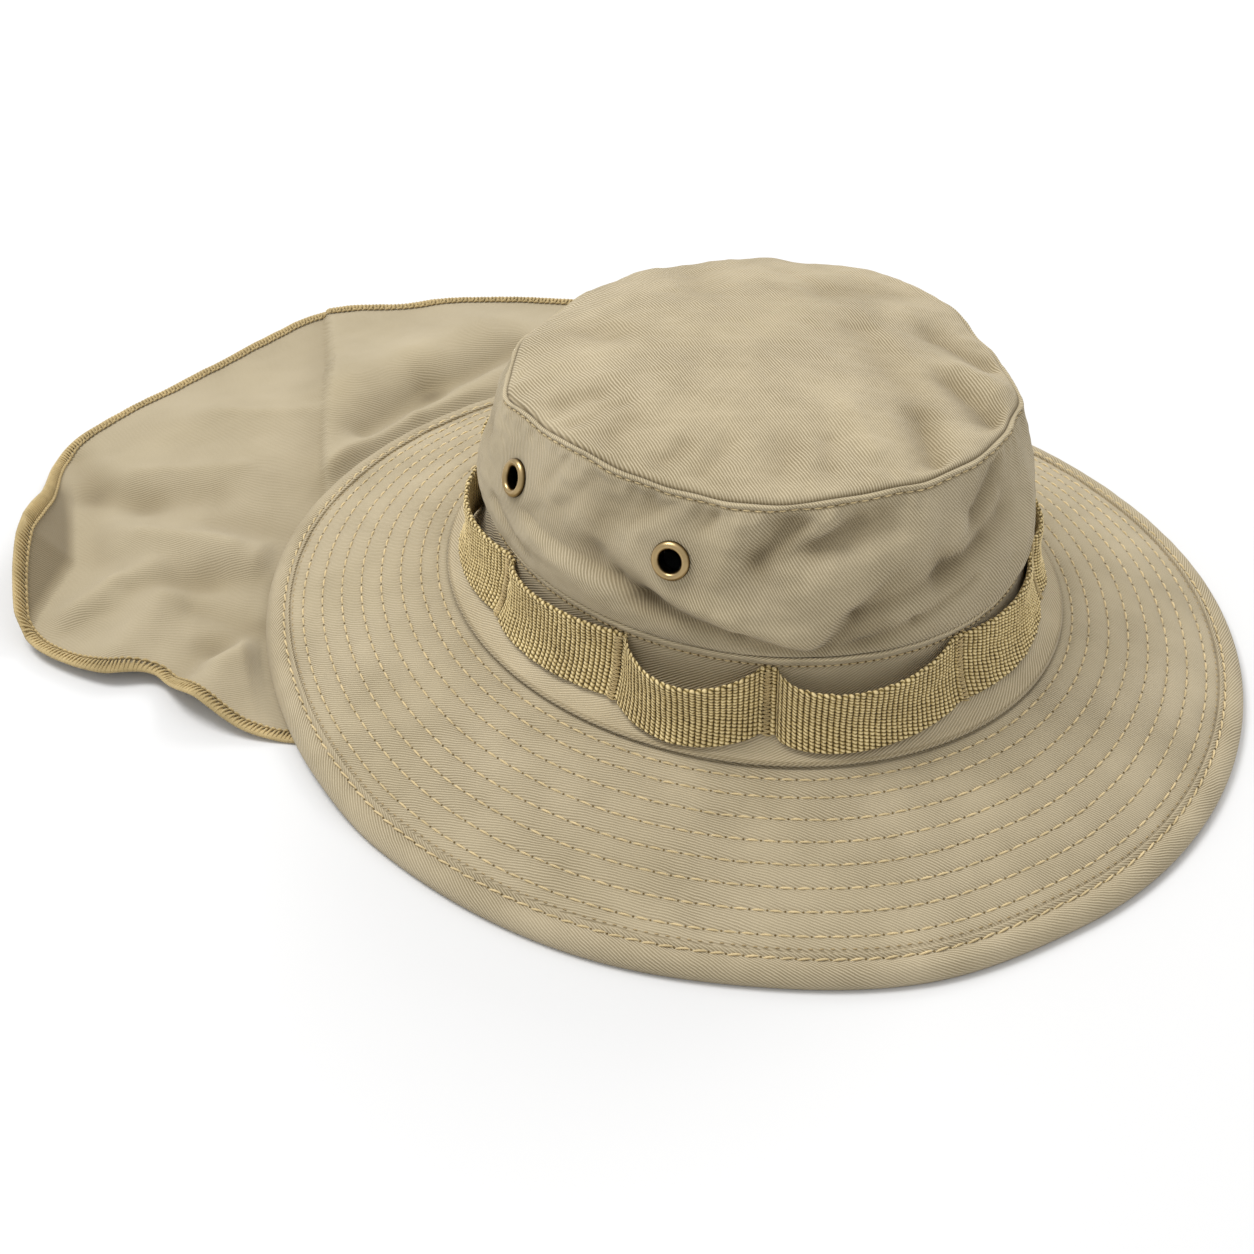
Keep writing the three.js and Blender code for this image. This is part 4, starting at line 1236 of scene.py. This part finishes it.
def side_relief(angle, level):
    """Small wrinkles, a ridge along the seam and the row of topstitching under it."""
    length = level * SIDE_HEIGHT
    below = (1 - level) * SIDE_HEIGHT
    run = turn_between(222, angle) * DEGREE_RUN
    small = wrinkles(SIDE_WRINKLES, run, length)
    pleat = np.sin(run * 2 * math.pi / 6.5 + 2.4 * waves(run, 0 * run, 25, 43))
    pucker = 0.45 * pleat * bell(below - 3.4, 2.6) * (0.6 + 0.5 * waves(run, 0 * run, 40, 44))
    uneven = (small + pucker) * ease(0, 0.1, level) * eyelet_calm(angle, level)
    return uneven + lines(SEAM_LINES, below) + lines(FOOT_LINES, length)


def side_point(angle, level):
    relief = side_relief(angle, level)[..., None]
    return side_surface(angle, level) + outward(side_surface, angle, level) * relief


def eyelet_places():
    for name, angle in EYELETS:
        middle = side_surface(np.array(float(angle)), np.array(EYELET_LEVEL))
        yield name, middle, outward(side_surface, np.array(float(angle)), np.array(EYELET_LEVEL))


def side_levels():
    foot = np.linspace(0, 0.06, 7)[:-1]
    even = np.linspace(0.06, 0.9, 60)
    fine = np.linspace(0.9, 1, 19)[1:]
    return np.concatenate([foot, even, fine])


def cut_holes(points):
    """Draws the points round each vent hole out to its edge, and says which points stay."""
    keep = np.ones(points.shape[:2], bool)
    for _, middle, direction in eyelet_places():
        offset = points - middle
        axial = offset @ direction
        radial = offset - axial[..., None] * direction
        away = np.linalg.norm(radial, axis=-1)
        inside = (away < EYELET_HOLE) & (np.abs(axial) < EYELET_DEPTH)
        keep &= ~inside
        scale = EYELET_HOLE / np.maximum(away, 0.01)
        moved = middle + axial[..., None] * direction + radial * scale[..., None]
        points = np.where(inside[..., None], moved, points)
    return points, keep


def make_side(material):
    angle = even_angles(SIDE_COLUMNS)[:, None]
    levels = side_levels()[None, :]
    outer = side_point(angle, levels)
    reach = seam_reach(angle)
    top = seam_level(angle)
    roll = [oval(angle, reach + out, top + up) for out, up in SEAM_ROLL]
    back = np.linspace(0.985, 0, 22)[None, :]
    inner = side_surface(angle, back) - outward(side_surface, angle, back) * CROWN_WALL
    points, keep = cut_holes(np.concatenate([outer] + roll + [inner], axis=1))
    # Painted shade in the folds' valleys, under the seam's ridge and at the foot; painted highlight on the
    # ridges and the seam.
    shade = lines(SEAM_PAINTED_SHADING, (1 - levels) * SIDE_HEIGHT) + lines(FOOT_PAINTED_SHADE, levels * SIDE_HEIGHT)
    tone = outer_painted_shading(points, SIDE_SHADE * side_fold(angle, levels) + shade, SEAM_ROLL_PAINTED_SHADING)
    piece = grid_piece("side_cloth", points, strip_weave(points, 30), tone=tone, keep=keep)
    return dress(piece, "cloth", material, "crown_side")


def stitches_of_seam():
    angle = even_angles(ROW_POINTS)
    level = 1 - TOPSTITCH_DROP / SIDE_HEIGHT + 0 * angle
    line = side_point(angle, level)
    normals = outward(side_surface, angle, level)
    return stitch_places(line, normals, TOPSTITCH_PITCH, TOPSTITCH_LENGTH)


def stitches_of_band():
    angle = even_angles(ROW_POINTS)
    level = 1 - BAND_ROW_DROP / BAND_HEIGHT + 0 * angle
    normals = outward(band_surface, angle, level)
    line = band_surface(angle, level) - 0.2 * normals
    return stitch_places(line, normals, BAND_ROW_PITCH, BAND_ROW_LENGTH)


# Crown tip


def tip_place(angle, level):
    turn = math.radians(angle)
    return TIP_HALF * level * math.cos(turn), TIP_HALF * level * math.sin(turn)


def tip_creases():
    """The top panel's dents, in millimetres as seen from above."""
    for fold in TIP_FOLDS:
        start = tip_place(fold.start_angle, fold.start_level)
        end = tip_place(fold.end_angle, fold.end_level)
        yield Crease(*start, *end, TIP_HALF * fold.width, fold.depth, fold.sharp)


def tip_dent(x, y, share):
    depth = creases(tip_creases(), x, y)
    return TIP_GAIN * FOLD_DEPTH * depth * (1 - ease(1 - TIP_FADE, 1, share))


def tip_surface(angle, share):
    """Share 0 is the seam and 1 the middle of the top."""
    spread = 1 - share
    edge = oval(angle, seam_reach(angle) - 0.9, 0)
    x = edge[..., 0] * spread
    y = edge[..., 1] * spread
    low = seam_level(angle) + GAP + CROWN_WALL
    high = SIDE_BASE + SIDE_HEIGHT + GAP + CROWN_WALL + TIP_RISE
    level = lerp(high, low, spread**TIP_ROUNDING)
    run = share * TIP_HALF
    shoulder = -TIP_SHOULDER * np.exp(-run / 0.6)
    small = wrinkles(TIP_WRINKLES, x, y)
    pleat = np.sin(np.radians(angle) * TIP_PLEATS + 2.2 * waves(x, y, 30, 53))
    small = small + 0.42 * pleat * bell(run - 3.5, 3.0) * (0.5 + 0.5 * waves(x, y, 40, 54))
    level = level + tip_dent(x, y, spread) + shoulder + small * ease(0, 0.06, share)
    return np.stack(np.broadcast_arrays(x, y, level), axis=-1)


def make_tip(material):
    angle = even_angles(TIP_COLUMNS)[:, None]
    shares = np.append(np.linspace(0, 1, 84)[:-1] ** 1.7, (0.9993, 0.99999))[None, :]
    outer = tip_surface(angle, shares)
    inner = tip_surface(angle, shares[:, ::-12])
    inner[..., 2] -= CROWN_WALL
    points = np.concatenate([outer, inner], axis=1)
    dent = tip_dent(outer[..., 0], outer[..., 1], 1 - shares)
    # Painted shade in the dents and along the edge at the seam, painted highlight on raised folds.
    tone = outer_painted_shading(points, TIP_SHADE * dent - 0.5 * bell(shares * TIP_HALF, 0.5))
    piece = grid_piece("tip_cloth", points, plane_weave(points), tone=tone)
    return dress(piece, "cloth", material, "crown_tip")


# Webbing


def loop_bulge(angle):
    """How far the strap stands off at an angle: nothing at a tack, most in a loop's middle."""
    bulge = np.zeros_like(angle)
    for index, (tack, size, most) in enumerate(TACKS):
        after = TACKS[(index + 1) % len(TACKS)][0]
        span = (after - tack) % 360
        share = np.mod(angle - tack, 360) / span
        inside = share < 1
        eased = np.clip((share - 0.045) / 0.91, 0, 1) ** (math.log(0.5) / math.log(most))
        bulge = np.where(inside, size * np.sin(np.pi * eased) ** LOOP_SHOULDER, bulge)
    return bulge


def strap_point(angle, height, off=0.0):
    """Height 0 is the strap's lower edge and 1 its upper edge, off is out from its inner face."""
    rise = WEBBING_RISE + height * WEBBING_HEIGHT / BAND_HEIGHT
    reach, level = band_place(rise)
    bulge = loop_bulge(angle)
    stand = bulge * lerp(LOOP_LOW, LOOP_HIGH, height)
    return oval(angle, reach + GAP + stand + off, level - bulge * LOOP_SAG)


def make_webbing(material):
    columns = RIBS_ROUND * RIB_POINTS
    dense = even_angles(7200)
    line = strap_point(dense, 0.5 + 0 * dense)
    run = run_of(np.vstack([line, line[:1]]))
    angle = np.interp(np.arange(columns) / columns * run[-1], run, np.append(dense, 360))[:, None]
    height = np.linspace(0, 1, BEAD_ROWS * BEAD_POINTS + 1)[None, :]
    bead_u = np.arange(columns)[:, None] / RIB_POINTS
    bead_v = height * BEAD_ROWS
    rib = np.floor(bead_u)
    bead = np.abs(np.sin(np.pi * (bead_v + 0.5 * (rib % 2) + 0.5 * (bead_u - rib))))
    hill = np.abs(np.sin(np.pi * bead_u)) * (0.4 + 0.6 * bead)
    relief = BEAD_RELIEF * (hill - 0.5) * ease(0, 0.02, height) * ease(1, 0.98, height)
    relief = relief + 0.25 * waves(angle * 1.9, height * WEBBING_HEIGHT, 9, 71)
    outer = strap_point(angle, height, WEBBING_WALL + relief)
    scallop = 0.45 * np.abs(np.sin(np.pi * bead_u)) + 0.2 * waves(angle * 1.9, 0 * angle, 5, 72)
    edge_top = [strap_point(angle, 1.0 + 0 * angle, WEBBING_WALL * share) for share in (0.75, 0.25)]
    for row_points, lift in zip(edge_top, (0.45, 0.35)):
        row_points[..., 2] += lift + scallop
    inner = strap_point(angle, np.linspace(1, 0, 7)[None, :])
    edge_low = [strap_point(angle, 0.0 * angle, WEBBING_WALL * share) for share in (0.25, 0.75)]
    for row_points in edge_low:
        row_points[..., 2] -= 0.4
    points = np.concatenate([outer] + edge_top + [inner] + edge_low, axis=1)
    rows = points.shape[1]
    over_top = BEAD_ROWS + np.array([0.4, 0.8])
    down_inside = np.linspace(BEAD_ROWS, 0, 7)
    across = np.concatenate([bead_v[0], over_top, down_inside, [-0.6, -0.4], [0.0]])
    along = np.arange(columns + 1) / RIB_POINTS
    weave = np.stack(np.meshgrid(along, across[: rows + 1], indexing="ij"), axis=-1)
    piece = grid_piece("webbing_strap", points, weave)
    return dress(piece, "strap", material, "webbing")


def tack_threads():
    """Close rows of thread across the strap at each tack."""
    dice = np.random.default_rng(73)
    count = int(WEBBING_HEIGHT / TACK_PITCH)
    starts = []
    ends = []
    for tack, _, _ in TACKS:
        height = (np.arange(count) + dice.uniform(-0.2, 0.2, count)) / count
        half = np.degrees(TACK_WIDTH / 2 / STRAP_RADIUS) * dice.uniform(0.75, 1.2, count)
        tilt = 0.012 * np.where(np.arange(count) % 2, 1, -1)
        starts.append(strap_point(tack - half, height - tilt, WEBBING_WALL + 0.25))
        ends.append(strap_point(tack + half, height + tilt, WEBBING_WALL + 0.25))
    starts = np.concatenate(starts)
    ends = np.concatenate(ends)
    out = unit((starts + ends) / 2 * np.array([1, 1, 0]))
    return starts, ends, unit(out + np.array([0, 0, 0.3]))


def frayed_threads():
    """A few loose thread ends at the top of each tack."""
    dice = np.random.default_rng(74)
    count = FRAYED_ENDS * len(TACKS)
    angle = np.repeat([tack for tack, _, _ in TACKS], FRAYED_ENDS) + dice.uniform(-1.2, 1.2, count)
    starts = strap_point(angle, 0.985 + 0 * angle, WEBBING_WALL * 0.7)
    out = unit(starts * np.array([1, 1, 0]))
    aside = np.cross(out, np.array([0.0, 0.0, 1.0])) * dice.uniform(-1.6, 1.6, (count, 1))
    rise = np.array([0, 0, 1]) * dice.uniform(0.6, 1.6, (count, 1))
    return starts, starts + aside + rise + 0.6 * out, out


def make_tacks(material):
    threads = thread_piece("webbing_tacks", *tack_threads(), 0.33, 0.25, sink=0.1)
    frayed = thread_piece("webbing_frayed", *frayed_threads(), 0.13, 0.2, sink=0.1)
    for piece in (threads, frayed):
        dress(piece, "strap", material, "webbing")


# Eyelets: radius and height of the section, from the washer inside round to the bore.
EYELET_PROFILE = [
    (3.75, -3.6),
    (5.3, -3.4),
    (5.4, -2.7),
    (4.4, -2.6),
    (4.4, -0.2),
    (6.1, 0.0),
    (6.3, 0.45),
    (6.1, 1.15),
    (5.55, 1.75),
    (4.9, 1.95),
    (4.2, 1.7),
    (3.75, 1.0),
    (3.6, 0.1),
    (3.6, -1.5),
]


def make_eyelets(material):
    profile = smooth_line(EYELET_PROFILE, 3)
    turn = np.radians(even_angles(EYELET_COLUMNS))
    for name, middle, direction in eyelet_places():
        across = unit(np.cross(np.array([0.0, 0.0, 1.0]), direction))
        up = np.cross(direction, across)
        circle = circle_round(turn, across, up)
        points = middle + circle[:, None] * profile[None, :, :1] + profile[None, :, 1:] * direction
        tone = ease(0.3, 1.6, profile[:, 1])[None, :]
        piece = grid_piece(name + "_brass", points, strip_weave(points, 5), tone=tone)
        dress(piece, "eyelet_metal", material, name)


# Flap


def flap_xy(across, back):
    return FLAP_SHIFT + across * FLAP_WIDTH, back * FLAP_BACK


def seam_xy(angle, reach):
    return oval(angle, reach, 0.0)[..., :2]


STRETCH_STEPS = 18


def flap_outline():
    """The free outline, clockwise from above, from the seam's right end to its left end."""
    rows = [tuple(seam_xy(180 - FLAP_SEAM_ANGLE, FLAP_SEAT))]
    rows += [flap_xy(*row) for row in FLAP_RIGHT]
    rows += [flap_xy(*row) for row in FLAP_FAR[1:-1]]
    rows += [flap_xy(*row) for row in FLAP_LEFT[::-1]]
    rows.append(tuple(seam_xy(FLAP_SEAM_ANGLE, FLAP_SEAT)))
    return smooth_line(rows, STRETCH_STEPS)


def set_in(line, distance):
    """Moves a line to the right of its direction, which is into the cloth."""
    along = np.gradient(line, axis=0)
    kernel = np.ones(9) / 9
    padded = np.pad(along, ((4, 4), (0, 0)), mode="edge")
    along = np.stack([np.convolve(padded[:, axis], kernel, mode="valid") for axis in (0, 1)], -1)
    along = unit(along)
    return line + distance * np.stack([along[:, 1], -along[:, 0]], axis=-1)


def flap_plan(across, down):
    """Blends the flap's four edges into one sheet: down is 0 at the seam and 1 at the far edge."""
    edge = set_in(flap_outline(), HEM_OVERLAP)
    right_end = len(FLAP_RIGHT) * STRETCH_STEPS
    far_end = right_end + (len(FLAP_FAR) - 1) * STRETCH_STEPS
    right = edge[: right_end + 1]
    far = edge[right_end : far_end + 1]
    left = edge[far_end:][::-1]
    from_angle, from_reach = oval_place(*right[0])
    to_angle, to_reach = oval_place(*left[0])
    near = seam_xy(lerp(from_angle, to_angle, across), lerp(from_reach, to_reach, across))
    plan = near * (1 - down)[..., None] + read_line(far, across) * down[..., None]
    plan = plan + read_line(right, down) * (1 - across)[..., None]
    plan = plan + read_line(left, down) * across[..., None]
    for corner, weight in (
        (right[0], (1 - across) * (1 - down)),
        (left[0], across * (1 - down)),
        (far[0], (1 - across) * down),
        (far[-1], across * down),
    ):
        plan = plan - corner * weight[..., None]
    return plan


def off_line(line, x, y):
    """Distance from a line of points, above zero on the side towards -X and below it on the other."""
    nearest = np.full(np.shape(x), 1e6)
    signed = np.zeros(np.shape(x))
    for start, end in zip(line[:-1], line[1:]):
        away, outside = from_line(x, y, start, end)
        closer = away < nearest
        nearest = np.where(closer, away, nearest)
        signed = np.where(closer, np.where(outside, away, -away), signed)
    return signed


def turned_up(x, y):
    """Height of the turned up edge: it rises evenly beyond its crease, and least at its corner."""
    from_corner = np.hypot(x - TURN_UP[0][0], y - TURN_UP[0][1])
    return np.clip((off_line(TURN_UP, x, y) - 0.5) / TURN_UP_RUN, 0, 1.15) * ease(4, 62, from_corner)


def pressed_step(x, y):
    """Step across the pressed crease, from 1 on its high side to -1 on its low side."""
    away = off_line(PRESSED, x, y)
    return -np.tanh(away / 0.9) * np.exp(-np.abs(away) / PRESSED_RUN)


def main_folds():
    """The flap's main folds, in millimetres as seen from above."""
    for fold in FLAP_FOLDS:
        start = flap_xy(fold.start_x, fold.start_y)
        end = flap_xy(fold.end_x, fold.end_y)
        yield Crease(*start, *end, fold.width * FLAP_WIDTH, fold.rise, fold.sharp)


def flap_level(x, y, wall):
    """Height of the underside of cloth or hem over the table."""
    angle, reach = oval_place(x, y)
    share = reach / rim_reach(angle)
    under = brim_top(angle, np.clip(share, 0, 1)) - BRIM_WALL
    hidden = (under - FLAP_CLEAR - wall) * (1 - ease(BINDING_START / 2, BINDING_START, share))
    rise = FLAP_LIFT * np.maximum(0, creases(main_folds(), x, y))
    rise = rise + FLAP_BASE * ease(LIFT_START, BASE_FULL, share) + creases(FLAP_CREASES, x, y)
    rise = rise + PRESSED_STEP * pressed_step(x, y) + wrinkles(FLAP_WRINKLES, x, y)
    soft = FLAP_SOFTNESS * np.log1p(np.exp(np.clip(rise / FLAP_SOFTNESS, -30, 30)))
    open_level = soft * ease(LIFT_START, LIFT_FULL, share) + FLAP_LIFT * turned_up(x, y)
    return np.where(share < 1, hidden, open_level)


def make_flap(material):
    shares = np.linspace(0, 1, FLAP_COLUMNS), np.linspace(0, 1, FLAP_ROWS)
    across, down = np.meshgrid(*shares, indexing="ij")
    plan = flap_plan(across, down)
    x, y = plan[..., 0], plan[..., 1]
    level = flap_level(x, y, FLAP_WALL)
    under = np.stack([x, y, level], axis=-1)
    over = np.stack([x, y, level + FLAP_WALL], axis=-1)
    points = np.concatenate([under, over[:, ::-1]], axis=1)
    # Painted shade in the creases and on the turned up edge, painted highlight on ridges, and painted
    # highlight and shade on the high and low sides of the pressed crease.
    shade = FLAP_SHADE * creases(FLAP_CREASES, x, y) - STRIP_SHADE * ease(0, 0.25, turned_up(x, y))
    shade = shade + PRESSED_SHADE * (pressed_step(x, y) - bell(off_line(PRESSED, x, y), 1.1))
    tone = np.concatenate([shade, shade[:, ::-1]], axis=1)
    weave = plane_weave(points, False, True)
    piece = grid_piece("flap_cloth", points, weave, round_shut=False, tone=tone, ends=True)
    return dress(piece, "cloth", material, "flap")


# Hem: share of the way in from the outer edge, and height over the underside.
HEM_PROFILE = [
    (0.5, 0.0),
    (0.12, 0.1),
    (-0.03, 0.7),
    (0.1, 1.45),
    (0.45, 1.85),
    (0.85, 1.7),
    (1.05, 1.1),
    (1.0, 0.3),
    (0.8, 0.0),
]


def hem_lines():
    outline = flap_outline()
    run = run_of(outline)
    line = read_rows(np.linspace(0, run[-1], HEM_POINTS), run, outline)
    return line, set_in(line, HEM_WIDTH)


def hem_point(outer, inner, share, height):
    plan = outer + (inner - outer) * share
    level = flap_level(plan[..., 0], plan[..., 1], HEM_WALL) + height
    return np.concatenate([plan, level[..., None]], axis=-1)


def make_hem(material):
    outer, inner = hem_lines()
    rows = [hem_point(outer, inner, share, height) for share, height in HEM_PROFILE]
    points = np.stack(rows, axis=1)[:, ::-1]
    weave = strip_weave(points, 4, False, True)
    piece = grid_piece("hem_body", points, weave, round_shut=False)
    return dress(piece, "thread", material, "flap_hem")


def make_hem_threads(material):
    outer, inner = hem_lines()
    run = run_of(outer)
    count = int(run[-1] / OVERLOCK_PITCH)
    place = np.linspace(2, run[-1] - 2, count)

    def at(distance, share, height):
        spots = [read_rows(distance, run, line) for line in (outer, inner)]
        return hem_point(*spots, share, height)

    dice = np.random.default_rng(61)
    slant = 1.1 + dice.uniform(-0.25, 0.25, count)
    starts = at(place, 1.4, 1.45)
    ends = at(place + slant, -0.02, 0.9)
    normals = np.tile([0.0, 0.0, 1.0], (count, 1))
    piece = thread_piece("hem_overlock", starts, ends, normals, 0.46, 0.9, sink=0.1)
    dress(piece, "thread", material, "flap_hem")
    links = int(run[-1] / CHAIN_PITCH)
    place = np.linspace(2, run[-1] - 3, links)
    starts = at(place, 1.5, 1.5)
    ends = at(place + CHAIN_PITCH * 0.9, 1.38, 1.7)
    normals = np.tile([0.0, 0.0, 1.0], (links, 1))
    chain = thread_piece("hem_chain", starts, ends, normals, 0.52, 0.4, sink=0.15)
    dress(chain, "thread", material, "flap_hem")
    return [piece, chain]


def add_stitches(name, places, radius, arch, material, dark, node):
    """A row of stitches with the needle holes between them."""
    starts, ends, up, centres, normals = places
    threads = thread_piece(name, starts, ends, up, radius, arch)
    dress(threads, "thread", material, node)
    # Each needle hole is a small disc coloured dark as painted shade of the hole.
    holes = hole_piece(name + "_holes", centres, normals, HOLE_RADIUS, 0.1)
    dress(holes, "thread", dark, node)


def build_hat():
    # The last number of each twill is painted light on the whole panel: the tip and band are painted
    # lighter, the brim and flap darker, for the light and shade that falls on them.
    brim_twill = twill("twill_brim", 22, 0.8, 1.05, 0.975)
    side_twill = twill("twill_side", 38, 0.87, 1.15)
    tip_twill = twill("twill_tip", -23, 0.86, 1.3, 1.05)
    band_twill = twill("twill_band", -60, 0.85, 1.0, 1.12)
    binding_twill = twill("twill_binding", 60, 0.84, 1.15)
    flap_twill = twill("twill_flap", 60, 0.8, 0.55, 0.835)
    tan_thread = thread_look("thread_tan", (0.76, 0.62, 0.37), (0.54, 0.41, 0.2))
    gold_thread = thread_look("thread_gold", (0.64, 0.5, 0.255), (0.3, 0.215, 0.09))
    brown_thread = thread_look("thread_brown", (0.5, 0.39, 0.22), (0.34, 0.25, 0.12))
    # Painted shade for the needle holes.
    dark = painted_hole_shade_look()
    make_brim(brim_twill)
    make_binding(binding_twill)
    make_band(band_twill)
    make_side(side_twill)
    make_tip(tip_twill)
    make_webbing(strap_look())
    make_tacks(gold_thread)
    make_eyelets(brass_look())
    flap = make_flap(flap_twill)
    hem = make_hem(gold_thread)
    threads = make_hem_threads(gold_thread)
    add_stitches("brim_stitches", stitches_of_brim(), STITCH_RADIUS, 0.22, tan_thread, dark, "brim")
    edge = thread_piece("edge_stitches", *stitches_of_edge()[:3], 0.24, 0.1)
    dress(edge, "thread", brown_thread, "brim")
    add_stitches("binding_stitches", stitches_of_binding(), 0.4, 0.34, tan_thread, dark, "brim_binding")
    add_stitches("seam_stitches", stitches_of_seam(), 0.3, 0.2, tan_thread, dark, "crown_side")
    add_stitches("band_stitches", stitches_of_band(), 0.26, 0.2, tan_thread, dark, "crown_band")


# Stage

CAMERA_PLACE = (-549.5, -446.6, 557.7)
CAMERA_HEADING = -47.5
CAMERA_TILT = 52.0
CAMERA_LENS = 74.64


def floor_look():
    look = Look("floor_white")
    speck = look.noise(look.object_place(), 3.0, 2.0)
    colour = look.patches(speck, (0.71, 0.71, 0.71), (0.72, 0.72, 0.72))
    return look.finish(colour, 0.9, specular=0.1)


def build_floor():
    bpy.ops.mesh.primitive_plane_add(size=14, location=(0, 0, -0.0002))
    floor = bpy.context.object
    floor.name = "floor"
    floor.data.materials.append(floor_look())
    floor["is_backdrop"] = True


def build_camera():
    data = bpy.data.cameras.new("camera")
    data.lens = CAMERA_LENS
    data.sensor_width = 36
    camera = bpy.data.objects.new("camera", data)
    camera.location = (np.array(CAMERA_PLACE) + HAT_AXIS) / 1000
    camera.rotation_euler = (math.radians(CAMERA_TILT), 0, math.radians(CAMERA_HEADING))
    bpy.context.scene.collection.objects.link(camera)
    bpy.context.scene.camera = camera


def add_light(name, toward, distance, size, power):
    """A soft square light that shines on the hat from a direction seen by the camera."""
    heading = math.radians(CAMERA_HEADING)
    right = np.array([math.cos(heading), math.sin(heading), 0])
    ahead = np.array([-math.sin(heading), math.cos(heading), 0])
    place = toward[0] * right + toward[1] * ahead + toward[2] * np.array([0, 0, 1])
    place = unit(place) * distance
    data = bpy.data.lights.new(name, "AREA")
    data.size = size
    data.energy = power
    light = bpy.data.objects.new(name, data)
    light.location = place
    light.rotation_mode = "QUATERNION"
    light.rotation_quaternion = Vector(place).to_track_quat("Z", "Y")
    bpy.context.scene.collection.objects.link(light)


def build_lights():
    world = bpy.data.worlds.new("studio")
    world.use_nodes = True
    background = world.node_tree.nodes["Background"]
    background.inputs[0].default_value = (1, 1, 1, 1)
    background.inputs[1].default_value = 0.8
    bpy.context.scene.world = world
    add_light("key", (-0.45, 0.14, 1.0), 3.0, 1.2, 57)
    add_light("back", (0.5, 0.9, 0.8), 3.0, 1.0, 20)
    settings = bpy.context.scene.view_settings
    settings.view_transform = "Standard"
    settings.look = "None"


build_hat()
build_floor()
build_camera()
build_lights()

boxes = {"cad": CAD_BOX, "visual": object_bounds()}
{key: [list(corner) for corner in box] for key, box in boxes.items()}
